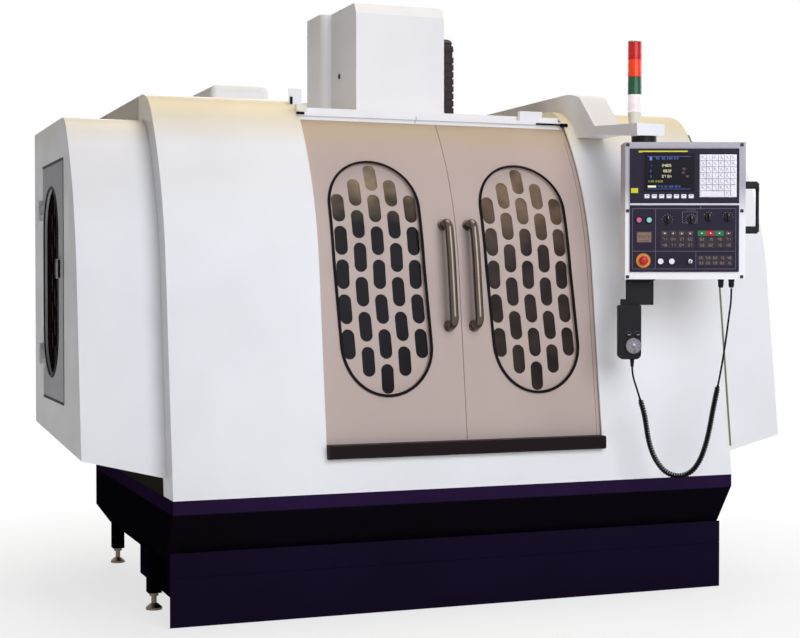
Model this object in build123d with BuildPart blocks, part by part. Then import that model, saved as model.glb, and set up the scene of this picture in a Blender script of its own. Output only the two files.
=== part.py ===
from build123d import *
from math import cos, degrees, pi, radians, sin, sqrt, tan
import os

os.makedirs("parts", exist_ok=True)

# CNC machining center, in millimetres.
# Origin on the floor in the middle of the footprint, +X to the right, +Y to the rear, +Z up.

# Overall sizes
FRONT = -785.0  # front plane of the splash tray's lip
TRAY_HALF = 1100.0  # half width of the tray and of the front cowl
WING_WIDE = 290.0  # how far each wing stands out beside the tray
WING_HALF = TRAY_HALF + WING_WIDE
CABIN_BACK = FRONT + 1500.0  # outer face of the rear wall
SHEET = 4.0  # thickness of the cowl sheets
THIN_SHEET = 3.0  # thickness of doors, trays and small covers
SEAT_GAP = 0.3  # clearance between a piece and what carries it

# Front line of the cowl, seen from the side: a lean, a shoulder arc, a crown arc, a flat roof
TRAY_TOP = 451.0
LEAN = 7.5
WAIST_Z = 1250.0
SHOULDER_R = 1134.0
SHOULDER_TURN = 30.5
CROWN_R = 221.0

# Doorway and doors
DOORWAY_HALF = 546.0
SILL_LOW = 572.0
SILL_TOP = 620.0
SILL_PROUD = 12.0
DOOR_DEPTH = 14.0  # how far the doors lie behind the cowl's face
DOOR_THICK = 30.0
DOOR_LAP = 18.0  # how far each door reaches behind the cowl
DOOR_SEAM = 2.0

# Slotted door windows, measured along the door's curve
WINDOW_X = 298.0
WINDOW_R = 187.0
WINDOW_LONG = 880.0
WINDOW_MID = -22.0  # middle of the window along the curve, from the waist
WINDOW_SINK = 12.0  # how far the slotted field lies behind the door's face
GASKET_WIDE = 10.0
GASKET_PROUD = 6.0
SLOT_LONG = 104.0
SLOT_WIDE = 46.0
SLOT_PITCH = 122.0
SLOT_COLUMN = 67.0
PANE_THICK = 5.0

# Door handles
HANDLE_X = 50.0
HANDLE_R = 16.0
HANDLE_PROUD = 70.0
HANDLE_LOW = -215.0
HANDLE_HIGH = 165.0
HANDLE_BEND = 30.0

# Wings at both sides
WING_DEPTH = 95.0  # how far the wing lies behind the cowl's face
WING_BACK = FRONT + 1220.0
WING_LOW_IN = 512.0  # underside at the front, beside the tray
WING_LOW_OUT = 582.0  # underside at the front, at the outer wall
WING_RISE = 55.0  # how far the underside rises to the rear

# Side door in the left wing
SIDE_DOOR_Y = (FRONT + 493.0, FRONT + 993.0)
SIDE_DOOR_Z = (760.0, 1636.0)
SIDE_DOOR_THICK = 22.0
SIDE_PLAY = 3.0  # gap round the door in its frame
SIDE_LAP = 15.0  # how far the frame's lip reaches behind the door
SIDE_WINDOW_AT = (FRONT + 785.0, 1197.0)
SIDE_WINDOW_LONG = 700.0
SIDE_WINDOW_WIDE = 340.0
SIDE_WINDOW_SINK = 10.0
SIDE_SLOT_LONG = 96.0
SIDE_SLOT_WIDE = 42.0
SIDE_SLOT_PITCH = 112.0
SIDE_SLOT_COLUMN = 62.0
SIDE_LATCH = ((FRONT + 545.0, FRONT + 577.0), (1210.0, 1280.0))
SIDE_LATCH_PROUD = 14.0

# Splash tray, legs and feet
LIP_LOW = 401.0
TRAY_FLOOR = 170.0
TRAY_KNEE = (107.0, 251.0)
TRAY_SIDE_IN = 60.0
LEG = 48.0
LEG_LOW = 62.0
LEGS = ((TRAY_HALF - 25.0, FRONT + 437.0), (TRAY_HALF - 86.0, FRONT + 1468.0))
FOOT_R = 30.0
FOOT_STEM_R = 10.0

# Coolant tank
TANK_FACE = FRONT + 80.0
TANK_TOP = TRAY_FLOOR - SEAT_GAP
TANK_LOW = 55.0
TANK_HALF = LEGS[0][0] - FOOT_R - 10.0  # clear of the front feet
TANK_BACK = FRONT + 885.0
SKIRT_TOP = 260.0
SKIRT_SEAM = 176.0
SKIRT_CLEAR = 3.0

# Bed, saddle and table
SPINDLE_Y = FRONT + 915.0
BED_HALF = 450.0
BED_FRONT = FRONT + 330.0
BED_BACK = FRONT + 1800.0
BED_TOP = 560.0
Y_RAIL_X = 270.0
RAIL_WIDE = 45.0
RAIL_TALL = 40.0
SADDLE_HALF_X = 620.0
SADDLE_HALF_Y = 200.0
SADDLE_THICK = 60.0
X_RAIL_Y = 140.0
RAIL_BLOCK = 90.0
TABLE_LONG = 1000.0
TABLE_WIDE = 500.0
TABLE_THICK = 80.0
TSLOT_PITCH = 125.0
TSLOT_THROAT = 18.0
TSLOT_FOOT = 30.0

# Column, head and spindle
COLUMN_HALF = 230.0
COLUMN_FRONT = FRONT + 1440.0
COLUMN_TOP = 1940.0
Z_RAIL_X = 150.0
Z_RAIL_LOW = 930.0
NOSE_Z = 1460.0
SPINDLE_R = 62.0
QUILL_R = 95.0
HEAD_HALF = 150.0
HEAD_TOP = 1800.0
HEAD_LOW = 1560.0
HEAD_COVER_HALF = 190.0
HEAD_COVER_Y = (FRONT + 725.0, FRONT + 1046.0)
HEAD_BACK_HALF = 235.0  # half width of the head cover's rear part
HEAD_BACK_END = FRONT + 1262.0
HEAD_COVER_LOW = 1620.0
HEAD_COVER_TOP = 2320.0
COLUMN_COVER_HALF = 250.0
COLUMN_COVER_FRONT = FRONT + 1290.0
COLUMN_COVER_TALL = 125.0

# Cable chain beside the head
CHAIN_X = (HEAD_BACK_HALF + 5.0, HEAD_BACK_HALF + 44.0)
CHAIN_Y = FRONT + 900.0
CHAIN_TOP = 2219.0
CHAIN_LOW = 1870.0
CHAIN_BEND = 52.0
CHAIN_TALL = 26.0
CHAIN_PITCH = 30.0

# Tool magazine
DRUM_X = (-745.0, -610.0)
DRUM_Y = FRONT + 950.0
DRUM_Z = 1550.0
DRUM_R = 360.0
POTS = 20
DOME_X = (-800.0, -570.0)
DOME_Y = (FRONT + 660.0, FRONT + 1240.0)

# Electrical cabinet at the back
CABINET_X = (250.0, TRAY_HALF - 50.0)
CABINET_Z = (600.0, 1790.0)
CABINET_DEEP = 345.0
CABINET_DOOR = 22.0

# Overhead arm and signal tower
ARM_X = (585.0, 700.0)
ARM_BACK = FRONT + 1180.0
TOWER_AT = (641.0, FRONT - 49.0)
TOWER_R = 26.0
TOWER_FOOT = 1830.0
LENS_TALL = 65.5

# Control box. Its sketches hold the distance right of the swivel's axis and the height.
SWIVEL_AT = (641.0, FRONT - 120.0)
BOX_TURN = 20.8
BOX_SPAN = (-75.0, 367.0)
BOX_HIGH = (1207.0, 1710.0)
BOX_FACE = 45.0
BOX_BACK = -75.0
PLATE_SPAN = (-58.0, 342.0)
DISPLAY_HIGH = (1486.0, 1686.0)
OPERATOR_HIGH = (1234.0, 1478.0)
PLATE_PROUD = 6.0
SCREEN_SPAN = (-7.0, 176.0)
SCREEN_HIGH = (1529.0, 1668.0)
KEYPAD_SPAN = (197.0, 332.0)
KEYPAD_HIGH = (1508.0, 1664.0)
SWIVEL_R = 46.0
POWER_BUTTONS = {"power_off_button": (-25.7, 1424.0), "power_on_button": (11.5, 1424.0)}
CYCLE_BUTTONS = {"start_button": (53.8, 1272.6), "hold_button": (94.7, 1272.6)}
STOP_AT = (-9.3, 1275.5)
KEY_AT = (163.0, 1272.6)
SELECTORS = {
    "mode_selector": (80.0, 1426.0),
    "feed_selector": (166.0, 1426.0),
    "rapid_selector": (231.5, 1435.0),
    "spindle_selector": (301.0, 1435.0),
}
GRIP_HIGH = (1376.0, 1570.0)
GRIP_PROUD = 64.0
GRIP_R = 7.0

# Handwheel unit and its cord
HOLDER_SPAN = (-64.0, 39.0)
MPG_SPAN = (-97.0, -12.0)
MPG_HIGH = (912.0, 1112.0)
MPG_BACK = -10.0
MPG_DEEP = 42.0
DIAL_AT = (-42.0, 962.0)
DIAL_R = 29.0
CORD_R = 3.5
COIL_R = 9.5
CORD_PLANE = 6.0  # distance of the cord's plane in front of the swivel's axis
CORD_DOWN = [(-42.0, 884.0), (-42.0, 858.0), (-35.0, 829.0), (-24.5, 799.5), (-14.0, 768.0)]
CORD_CURL = [
    (-14.0, 768.0), (3.4, 715.8), (12.0, 655.0), (22.0, 598.0), (43.0, 541.0), (80.0, 492.0),
    (130.0, 474.0), (178.0, 490.0), (211.0, 535.0), (232.0, 594.0), (246.0, 656.0),
    (257.0, 720.0), (268.0, 775.0),
]
CORD_UP = [
    (268.0, 775.0), (276.4, 817.0), (286.0, 866.0), (295.0, 919.0), (303.0, 972.0),
    (310.0, 1025.0), (316.5, 1077.0), (324.0, 1130.0), (324.0, 1176.0),
]


def lean_y(z):
    """Y of the cowl's face at a height below the waist."""
    return FRONT + (z - TRAY_TOP) * tan(radians(LEAN))


SHOULDER_Y = lean_y(WAIST_Z) + SHOULDER_R * cos(radians(LEAN))
SHOULDER_Z = WAIST_Z - SHOULDER_R * sin(radians(LEAN))
CROWN_ANGLE = LEAN + SHOULDER_TURN
CROWN_Y = SHOULDER_Y - (SHOULDER_R - CROWN_R) * cos(radians(CROWN_ANGLE))
CROWN_Z = SHOULDER_Z + (SHOULDER_R - CROWN_R) * sin(radians(CROWN_ANGLE))
ROOF = CROWN_Z + CROWN_R  # outer face of the high roof
ROOF_START = CROWN_Y + 50.0  # where the front cowl hands over to the roof
ROOF_MID = ROOF - 35.0  # outer face of the lower roof between the doors' cheeks
DOOR_TOP = ROOF_MID - 50.0
DOME_TOP = ROOF + 70.0
ARM_TOP = ROOF + 60.0


def cowl_y(z, depth=0.0):
    """Y of the cowl's front line at a height, set in by a depth."""
    waist = WAIST_Z - depth * sin(radians(LEAN))
    if z <= waist:
        return lean_y(z) + depth / cos(radians(LEAN))
    knee = SHOULDER_Z + (SHOULDER_R - depth) * sin(radians(CROWN_ANGLE))
    if z <= knee:
        return SHOULDER_Y - sqrt((SHOULDER_R - depth) ** 2 - (z - SHOULDER_Z) ** 2)
    return CROWN_Y - sqrt((CROWN_R - depth) ** 2 - (z - CROWN_Z) ** 2)


def curve_angle(along):
    """Lean of the cowl's face at a distance along its curve from the waist."""
    return radians(LEAN) + max(along, 0.0) / SHOULDER_R


def curve_point(along, depth):
    """Y and Z on the cowl's face at a distance along its curve, set in by a depth."""
    angle = curve_angle(along)
    y = SHOULDER_Y - (SHOULDER_R - depth) * cos(angle) + min(along, 0.0) * sin(angle)
    z = SHOULDER_Z + (SHOULDER_R - depth) * sin(angle) + min(along, 0.0) * cos(angle)
    return y, z


def curve_plane(x, along, depth):
    """Plane on the cowl's face, its normal pointing out of the machine."""
    y, z = curve_point(along, depth)
    angle = curve_angle(along)
    return Plane(origin=(x, y, z), x_dir=(1, 0, 0), z_dir=(0, -cos(angle), sin(angle)))


def cowl_face(depth, z_low, y_back, mode=Mode.ADD):
    """Side profile of all that lies behind the cowl's front line, set in by a depth."""
    lean = radians(LEAN)
    foot = (lean_y(z_low) + depth / cos(lean), z_low)
    waist = (lean_y(WAIST_Z) + depth * cos(lean), WAIST_Z - depth * sin(lean))
    with BuildLine() as outline:
        Line(foot, waist)
        shoulder = JernArc(waist, (sin(lean), cos(lean)), SHOULDER_R - depth, -SHOULDER_TURN)
        crown = JernArc(shoulder @ 1, shoulder % 1, CROWN_R - depth, CROWN_ANGLE - 90)
        Polyline(crown @ 1, (y_back, (crown @ 1).Y), (y_back, z_low), foot)
    make_face(outline.edges(), mode=mode)


def cowl_solid(x_span, depth, z_low, y_back, mode=Mode.ADD):
    """Block behind the cowl's front line, from one X to another."""
    with BuildSketch(Plane.YZ.offset(x_span[0])) as side:
        cowl_face(depth, z_low, y_back)
    extrude(side.sketch, amount=x_span[1] - x_span[0], mode=mode)


def cowl_sheet(x_span, depth, thick, z_span):
    """Curved sheet that follows the cowl's front line between two heights."""
    with BuildPart() as sheet:
        with BuildSketch(Plane.YZ.offset(x_span[0])) as side:
            cowl_face(depth, z_span[0], ROOF_START)
            cowl_face(depth + thick, z_span[0] - 1, ROOF_START + 1, mode=Mode.SUBTRACT)
            with Locations((CROWN_Y, z_span[1])):
                Rectangle(2 * SHOULDER_R, ROOF, align=(Align.CENTER, Align.MIN), mode=Mode.SUBTRACT)
        extrude(side.sketch, amount=x_span[1] - x_span[0])
    return sheet.part


def slab(x_span, y_span, z_span, mode=Mode.ADD):
    """Box between two X, two Y and two Z values."""
    spans = (x_span, y_span, z_span)
    middle = tuple((low + high) / 2 for low, high in spans)
    with Locations(middle):
        Box(*(high - low for low, high in spans), mode=mode)


def both_sides(x):
    """Span from -x to x."""
    return (-x, x)


def save(part, name):
    """Label a finished piece and write it."""
    part.label = name
    export_step(part, f"parts/{name}.step")


def save_mirrored(part, name):
    """Write the mirror image of a left piece as the right one."""
    with BuildPart() as other:
        mirror(part, about=Plane.YZ)
    save(other.part, name)


# Levelling feet of the tray's legs, four like pieces
with BuildPart() as levelling_feet:
    with BuildSketch(Plane.XZ) as foot_profile:
        with BuildLine():
            Polyline((0, 0), (FOOT_R, 0), (FOOT_R, 8), (FOOT_STEM_R + 6, 20), (FOOT_STEM_R, 24),
                     (FOOT_STEM_R, LEG_LOW - 12), (FOOT_STEM_R + 7, LEG_LOW - 12),
                     (FOOT_STEM_R + 7, LEG_LOW), (0, LEG_LOW), (0, 0))
        make_face()
    foot_solid = revolve(axis=Axis.Z, mode=Mode.PRIVATE)
    with Locations([(side * x, y, 0) for side in (-1, 1) for x, y in LEGS]):
        add(foot_solid)
save(levelling_feet.part, "levelling_feet")


# Splash tray: a welded tub on four square legs, open at the top and round the bed
def tub(inset):
    """Tub outline set in from its outer faces, with its top at the tray's top."""
    rim = TRAY_TOP + inset
    with BuildPart() as body:
        with BuildSketch(Plane.YZ.offset(-TRAY_HALF)):
            with BuildLine():
                Polyline((FRONT, rim), (FRONT, LIP_LOW + 4), (FRONT + 4, LIP_LOW),
                         (FRONT + TRAY_KNEE[0], TRAY_KNEE[1]),
                         (FRONT + TRAY_KNEE[0] + TRAY_SIDE_IN, TRAY_FLOOR),
                         (CABIN_BACK, TRAY_FLOOR), (CABIN_BACK, rim), (FRONT, rim))
            make_face()
            if inset:
                offset(amount=-inset, kind=Kind.INTERSECTION, mode=Mode.REPLACE)
        extrude(amount=2 * TRAY_HALF)
        with BuildSketch(Plane.XZ.offset(-CABIN_BACK)):
            with BuildLine():
                Polyline((-TRAY_HALF, rim), (-TRAY_HALF, TRAY_KNEE[1]),
                         (-TRAY_HALF + TRAY_SIDE_IN, TRAY_FLOOR),
                         (TRAY_HALF - TRAY_SIDE_IN, TRAY_FLOOR), (TRAY_HALF, TRAY_KNEE[1]),
                         (TRAY_HALF, rim), (-TRAY_HALF, rim))
            make_face()
            if inset:
                offset(amount=-inset, kind=Kind.INTERSECTION, mode=Mode.REPLACE)
        extrude(amount=CABIN_BACK - FRONT, mode=Mode.INTERSECT)
    return body.part


tub_outside = tub(0)
tub_inside = tub(THIN_SHEET)
with BuildPart() as splash_pan:
    add(tub_outside)
    for side in (-1, 1):
        for x, y in LEGS:
            slab((side * x - LEG / 2, side * x + LEG / 2), (y - LEG / 2, y + LEG / 2),
                 (LEG_LOW, TRAY_KNEE[1]))
    add(tub_inside, mode=Mode.SUBTRACT)
    slab(both_sides(BED_HALF + SEAT_GAP), (BED_FRONT - SEAT_GAP, CABIN_BACK + 1),
         (TRAY_FLOOR - 1, TRAY_TOP + 1), mode=Mode.SUBTRACT)
save(splash_pan.part, "splash_pan")


# Coolant tank: a tub round the front of the bed, behind a skirt that closes the machine's front
TANK_LEG = 60.0
SKIRT_HALF = TRAY_HALF - 5
with BuildPart() as coolant_tank:
    slab(both_sides(TANK_HALF), (TANK_FACE, TANK_BACK), (TANK_LOW, TANK_TOP))
    slab(both_sides(TANK_HALF - THIN_SHEET), (TANK_FACE + THIN_SHEET, TANK_BACK - THIN_SHEET),
         (TANK_LOW + THIN_SHEET, TANK_TOP + 1), mode=Mode.SUBTRACT)
    slab(both_sides(BED_HALF + 23), (BED_FRONT - 13, TANK_BACK - THIN_SHEET),
         (TANK_LOW, TANK_TOP))
    slab(both_sides(BED_HALF + 20), (BED_FRONT - 10, TANK_BACK + 1), (TANK_LOW - 1, TANK_TOP + 1),
         mode=Mode.SUBTRACT)
    with Locations([(side * (TANK_HALF - 80), y, 0) for side in (-1, 1)
                    for y in (TANK_FACE + 60, TANK_BACK - 60)]):
        Box(TANK_LEG, TANK_LEG, TANK_LOW, align=(Align.CENTER, Align.CENTER, Align.MIN))
    slab(both_sides(SKIRT_HALF), (TANK_FACE - SHEET, TANK_FACE), (SKIRT_CLEAR, SKIRT_TOP))
    slab(both_sides(SKIRT_HALF), (TANK_FACE - SHEET - 1, TANK_FACE - SHEET + 1.5),
         (SKIRT_SEAM - 3, SKIRT_SEAM), mode=Mode.SUBTRACT)
save(coolant_tank.part, "coolant_tank")


# Bed: one iron casting with pads, core pockets and the two Y guideways
BED_PAD = 130.0
PAD_TALL = 30.0
BED_SHOULDER = 70.0
BED_CELL = (250.0, 230.0)
BED_RIB = 30.0
with BuildPart() as bed_casting:
    with BuildSketch(Plane.XZ.offset(-BED_BACK)):
        with BuildLine():
            Polyline((-BED_HALF, PAD_TALL), (-BED_HALF, BED_TOP - 100),
                     (-BED_HALF + BED_SHOULDER, BED_TOP - 30), (-BED_HALF + BED_SHOULDER, BED_TOP),
                     (BED_HALF - BED_SHOULDER, BED_TOP), (BED_HALF - BED_SHOULDER, BED_TOP - 30),
                     (BED_HALF, BED_TOP - 100), (BED_HALF, PAD_TALL), (-BED_HALF, PAD_TALL))
        make_face()
    extrude(amount=BED_BACK - BED_FRONT)
    with Locations((0, (BED_FRONT + BED_BACK) / 2, PAD_TALL)):
        with GridLocations(BED_CELL[0] + BED_RIB, BED_CELL[1] + BED_RIB, 3, 5):
            Box(*BED_CELL, BED_TOP - 150 - PAD_TALL, align=(Align.CENTER, Align.CENTER, Align.MIN),
                mode=Mode.SUBTRACT)
    with Locations([(side * (BED_HALF - BED_PAD / 2), y, 0) for side in (-1, 1)
                    for y in (BED_FRONT + BED_PAD, (BED_FRONT + BED_BACK) / 2, BED_BACK - BED_PAD)]):
        Box(BED_PAD, BED_PAD, PAD_TALL, align=(Align.CENTER, Align.CENTER, Align.MIN))
    for side in (-1, 1):
        slab((side * Y_RAIL_X - RAIL_WIDE / 2, side * Y_RAIL_X + RAIL_WIDE / 2),
             (BED_FRONT + 20, COLUMN_FRONT - 30), (BED_TOP, BED_TOP + RAIL_TALL))
    slab(both_sides(120), (BED_FRONT + 60, COLUMN_FRONT - 80), (BED_TOP - 110, BED_TOP + 1),
         mode=Mode.SUBTRACT)
save(bed_casting.part, "bed_casting")


# Saddle: runner blocks on the Y guideways, a plate, and the two X guideways
def runner(center, along, top, low, mode_open):
    """Runner block over a guideway that lies along X or Y, with its channel."""
    x, y = center
    wide, deep = (RAIL_BLOCK, RAIL_WIDE + 55) if along == "X" else (RAIL_WIDE + 55, RAIL_BLOCK)
    gap = RAIL_WIDE / 2 + SEAT_GAP
    slab((x - wide / 2, x + wide / 2), (y - deep / 2, y + deep / 2), (low, top))
    if along == "X":
        slab((x - wide, x + wide), (y - gap, y + gap), (low - 1, mode_open), mode=Mode.SUBTRACT)
    else:
        slab((x - gap, x + gap), (y - deep, y + deep), (low - 1, mode_open), mode=Mode.SUBTRACT)


Y_RAIL_TOP = BED_TOP + RAIL_TALL
SADDLE_LOW = Y_RAIL_TOP + 40
SADDLE_TOP = SADDLE_LOW + SADDLE_THICK
X_RAIL_TOP = SADDLE_TOP + RAIL_TALL
TABLE_LOW = X_RAIL_TOP + 20
TABLE_TOP = TABLE_LOW + TABLE_THICK
with BuildPart() as saddle:
    for side in (-1, 1):
        for step in (-140, 140):
            runner((side * Y_RAIL_X, SPINDLE_Y + step), "Y", SADDLE_LOW, BED_TOP + 15,
                   Y_RAIL_TOP + SEAT_GAP)
    slab(both_sides(SADDLE_HALF_X), (SPINDLE_Y - SADDLE_HALF_Y, SPINDLE_Y + SADDLE_HALF_Y),
         (SADDLE_LOW, SADDLE_TOP))
    chamfer(saddle.faces().sort_by(Axis.Z)[-1].edges().filter_by(Axis.Y), length=25)
    for side in (-1, 1):
        slab(both_sides(SADDLE_HALF_X - 25),
             (SPINDLE_Y + side * X_RAIL_Y - RAIL_WIDE / 2, SPINDLE_Y + side * X_RAIL_Y + RAIL_WIDE / 2),
             (SADDLE_TOP, X_RAIL_TOP))
save(saddle.part, "saddle")


# Table with three T-slots, carried by four runner blocks
with BuildPart() as table:
    slab(both_sides(TABLE_LONG / 2), (SPINDLE_Y - TABLE_WIDE / 2, SPINDLE_Y + TABLE_WIDE / 2),
         (TABLE_LOW, TABLE_TOP))
    chamfer(table.edges().filter_by(Axis.Z), length=15)
    for x in (-145, 145):
        for side in (-1, 1):
            runner((x, SPINDLE_Y + side * X_RAIL_Y), "X", TABLE_LOW, SADDLE_TOP + 8,
                   X_RAIL_TOP + SEAT_GAP)
    for step in (-1, 0, 1):
        slot_y = SPINDLE_Y + step * TSLOT_PITCH
        slab(both_sides(TABLE_LONG), (slot_y - TSLOT_THROAT / 2, slot_y + TSLOT_THROAT / 2),
             (TABLE_TOP - 38, TABLE_TOP + 1), mode=Mode.SUBTRACT)
        slab(both_sides(TABLE_LONG), (slot_y - TSLOT_FOOT / 2, slot_y + TSLOT_FOOT / 2),
             (TABLE_TOP - 38, TABLE_TOP - 24), mode=Mode.SUBTRACT)
save(table.part, "table")


# Column: iron casting with the Z guideways and the magazine's bracket
Z_RAIL_FRONT = COLUMN_FRONT - RAIL_TALL
BRACKET_THICK = 30.0
BRACKET_Y = (COLUMN_FRONT + 5, CABIN_BACK - THIN_SHEET - 5)
with BuildPart() as column_casting:
    slab(both_sides(COLUMN_HALF), (COLUMN_FRONT, BED_BACK), (BED_TOP, COLUMN_TOP))
    fillet(column_casting.edges().filter_by(Axis.Z).group_by(Axis.Y)[-1], radius=30)
    slab(both_sides(COLUMN_HALF - 110), (COLUMN_FRONT - 1, COLUMN_FRONT + 60),
         (BED_TOP + 350, COLUMN_TOP - 60), mode=Mode.SUBTRACT)
    for side in (-1, 1):
        slab((side * Z_RAIL_X - RAIL_WIDE / 2, side * Z_RAIL_X + RAIL_WIDE / 2),
             (Z_RAIL_FRONT, COLUMN_FRONT), (Z_RAIL_LOW, COLUMN_TOP - 20))
    slab((DRUM_X[1] + SEAT_GAP, -COLUMN_HALF), BRACKET_Y, (DRUM_Z - 75, DRUM_Z + 75))
    slab((DRUM_X[1] + SEAT_GAP, DRUM_X[1] + BRACKET_THICK), (DRUM_Y - 60, BRACKET_Y[1]),
         (DRUM_Z - 75, DRUM_Z + 75))
    with Locations(Plane.YZ.offset(DRUM_X[0] + 30)):
        with Locations((DRUM_Y, DRUM_Z)):
            Cylinder(25, DRUM_X[1] + SEAT_GAP - DRUM_X[0] - 30,
                     align=(Align.CENTER, Align.CENTER, Align.MIN))
save(column_casting.part, "column_casting")


# Tool magazine: a disc with a ring of tool pots on a short hub
POT_R = 34.0
POT_RING = DRUM_R - POT_R
DISC_THICK = 22.0
with BuildPart() as magazine_drum:
    with BuildSketch(Plane.YZ.offset(DRUM_X[1] - DISC_THICK)):
        with Locations((DRUM_Y, DRUM_Z)):
            Circle(POT_RING + 10)
    extrude(amount=DISC_THICK)
    with BuildSketch(Plane.YZ.offset(DRUM_X[0])):
        with Locations((DRUM_Y, DRUM_Z)):
            Circle(70)
            with PolarLocations(POT_RING, POTS):
                Circle(POT_R)
    extrude(amount=DRUM_X[1] - DISC_THICK - DRUM_X[0])
    with BuildSketch(Plane.YZ.offset(DRUM_X[0])):
        with Locations((DRUM_Y, DRUM_Z)):
            with PolarLocations(POT_RING, POTS):
                Circle(22)
    extrude(amount=70, mode=Mode.SUBTRACT)
    with BuildSketch(Plane.YZ.offset(DRUM_X[0])):
        with Locations((DRUM_Y, DRUM_Z)):
            Circle(25.05)
    extrude(amount=DRUM_X[1] - DRUM_X[0], mode=Mode.SUBTRACT)
save(magazine_drum.part, "magazine_drum")


# Head: guide plate on four runner blocks, arm, quill and the spindle motor on top
GUIDE_LOW = NOSE_Z
GUIDE_HIGH = ROOF_MID - 30
GUIDE_BACK = Z_RAIL_FRONT - SEAT_GAP
MOTOR_R = 105.0
MOTOR_TOP = 2190.0
with BuildPart() as head_casting:
    with BuildSketch(Plane.YZ.offset(-HEAD_HALF)):
        with BuildLine():
            Polyline((SPINDLE_Y - 130, HEAD_LOW), (SPINDLE_Y + 130, HEAD_LOW),
                     (GUIDE_BACK - 60, GUIDE_LOW), (GUIDE_BACK, GUIDE_LOW),
                     (GUIDE_BACK, HEAD_TOP), (SPINDLE_Y - 130, HEAD_TOP),
                     (SPINDLE_Y - 130, HEAD_LOW))
        make_face()
    extrude(amount=2 * HEAD_HALF)
    fillet(head_casting.edges().filter_by(Axis.Z).group_by(Axis.Y)[0], radius=60)
    slab(both_sides(Z_RAIL_X + 50), (GUIDE_BACK - 40, GUIDE_BACK), (GUIDE_LOW, GUIDE_HIGH))
    for side in (-1, 1):
        for z in (GUIDE_LOW + 60, GUIDE_HIGH - 60):
            slab((side * Z_RAIL_X - 50, side * Z_RAIL_X + 50), (GUIDE_BACK, COLUMN_FRONT - 6),
                 (z - RAIL_BLOCK / 2, z + RAIL_BLOCK / 2))
        slab((side * Z_RAIL_X - RAIL_WIDE / 2 - SEAT_GAP, side * Z_RAIL_X + RAIL_WIDE / 2 + SEAT_GAP),
             (GUIDE_BACK, COLUMN_FRONT), (GUIDE_LOW - 1, GUIDE_HIGH + 1), mode=Mode.SUBTRACT)
    slab(both_sides(HEAD_COVER_HALF - THIN_SHEET - SEAT_GAP), (SPINDLE_Y - 120, SPINDLE_Y + 110),
         (HEAD_TOP - 12, HEAD_TOP))
    with Locations((0, SPINDLE_Y, NOSE_Z + 20)):
        Cylinder(QUILL_R, HEAD_LOW - NOSE_Z, align=(Align.CENTER, Align.CENTER, Align.MIN))
    with Locations((0, SPINDLE_Y, HEAD_TOP)):
        Cylinder(MOTOR_R, MOTOR_TOP - HEAD_TOP, align=(Align.CENTER, Align.CENTER, Align.MIN))
    with Locations((0, SPINDLE_Y, NOSE_Z)):
        Cylinder(SPINDLE_R + 0.05, 160, align=(Align.CENTER, Align.CENTER, Align.MIN),
                 mode=Mode.SUBTRACT)
save(head_casting.part, "head_casting")


# Spindle with its nose flange, 7:24 taper socket and two drive keys
TAPER_R = 22.2
TAPER_DEEP = 65.0
with BuildPart() as spindle:
    with BuildSketch(Plane.XZ.offset(-SPINDLE_Y)):
        with BuildLine():
            Polyline((TAPER_R, NOSE_Z), (SPINDLE_R, NOSE_Z), (SPINDLE_R, NOSE_Z + 159.7),
                     (8.5, NOSE_Z + 159.7), (8.5, NOSE_Z + TAPER_DEEP),
                     (TAPER_R - TAPER_DEEP * 7 / 48, NOSE_Z + TAPER_DEEP), (TAPER_R, NOSE_Z))
        make_face()
    revolve(axis=Axis((0, SPINDLE_Y, 0), (0, 0, 1)))
    with Locations([(side * 38, SPINDLE_Y, NOSE_Z) for side in (-1, 1)]):
        Box(22, 16, 8, align=(Align.CENTER, Align.CENTER, Align.MAX))
save(spindle.part, "spindle")


# Head cover: a folded box round the motor, wider at the back, with a bevelled top edge
BEVEL_TALL = 43.0
BEVEL_DEEP = 26.0
COVER_CORNER = 30.0
CLAMP_Z = (CHAIN_LOW + 15, CHAIN_LOW + 35)
with BuildPart() as head_cover:
    slab(both_sides(HEAD_COVER_HALF), (HEAD_COVER_Y[0], HEAD_BACK_END), (HEAD_COVER_LOW, HEAD_COVER_TOP))
    front_top = head_cover.edges().filter_by(Axis.X).group_by(Axis.Z)[-1].sort_by(Axis.Y)[0]
    front_face = head_cover.faces().sort_by(Axis.Y)[0]
    chamfer(front_top, length=BEVEL_TALL, length2=BEVEL_DEEP, reference=front_face)
    with BuildPart(mode=Mode.PRIVATE) as cover_back:
        slab(both_sides(HEAD_BACK_HALF), (HEAD_COVER_Y[1], HEAD_BACK_END),
             (HEAD_COVER_LOW, HEAD_COVER_TOP))
        fillet(cover_back.edges().filter_by(Axis.Z), radius=COVER_CORNER)
    add(cover_back.part)
    offset(amount=-THIN_SHEET, openings=head_cover.faces().sort_by(Axis.Z)[0])
    slab(both_sides(HEAD_HALF + 5), (HEAD_BACK_END - THIN_SHEET - 1, HEAD_BACK_END + 1),
         (HEAD_COVER_LOW - 1, HEAD_TOP + SEAT_GAP), mode=Mode.SUBTRACT)
    slab((HEAD_COVER_HALF, CHAIN_X[0] - SEAT_GAP),
         (CHAIN_Y - CHAIN_BEND - CHAIN_TALL / 2, CHAIN_Y - CHAIN_BEND + CHAIN_TALL / 2), CLAMP_Z)
save(head_cover.part, "head_cover")


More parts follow.
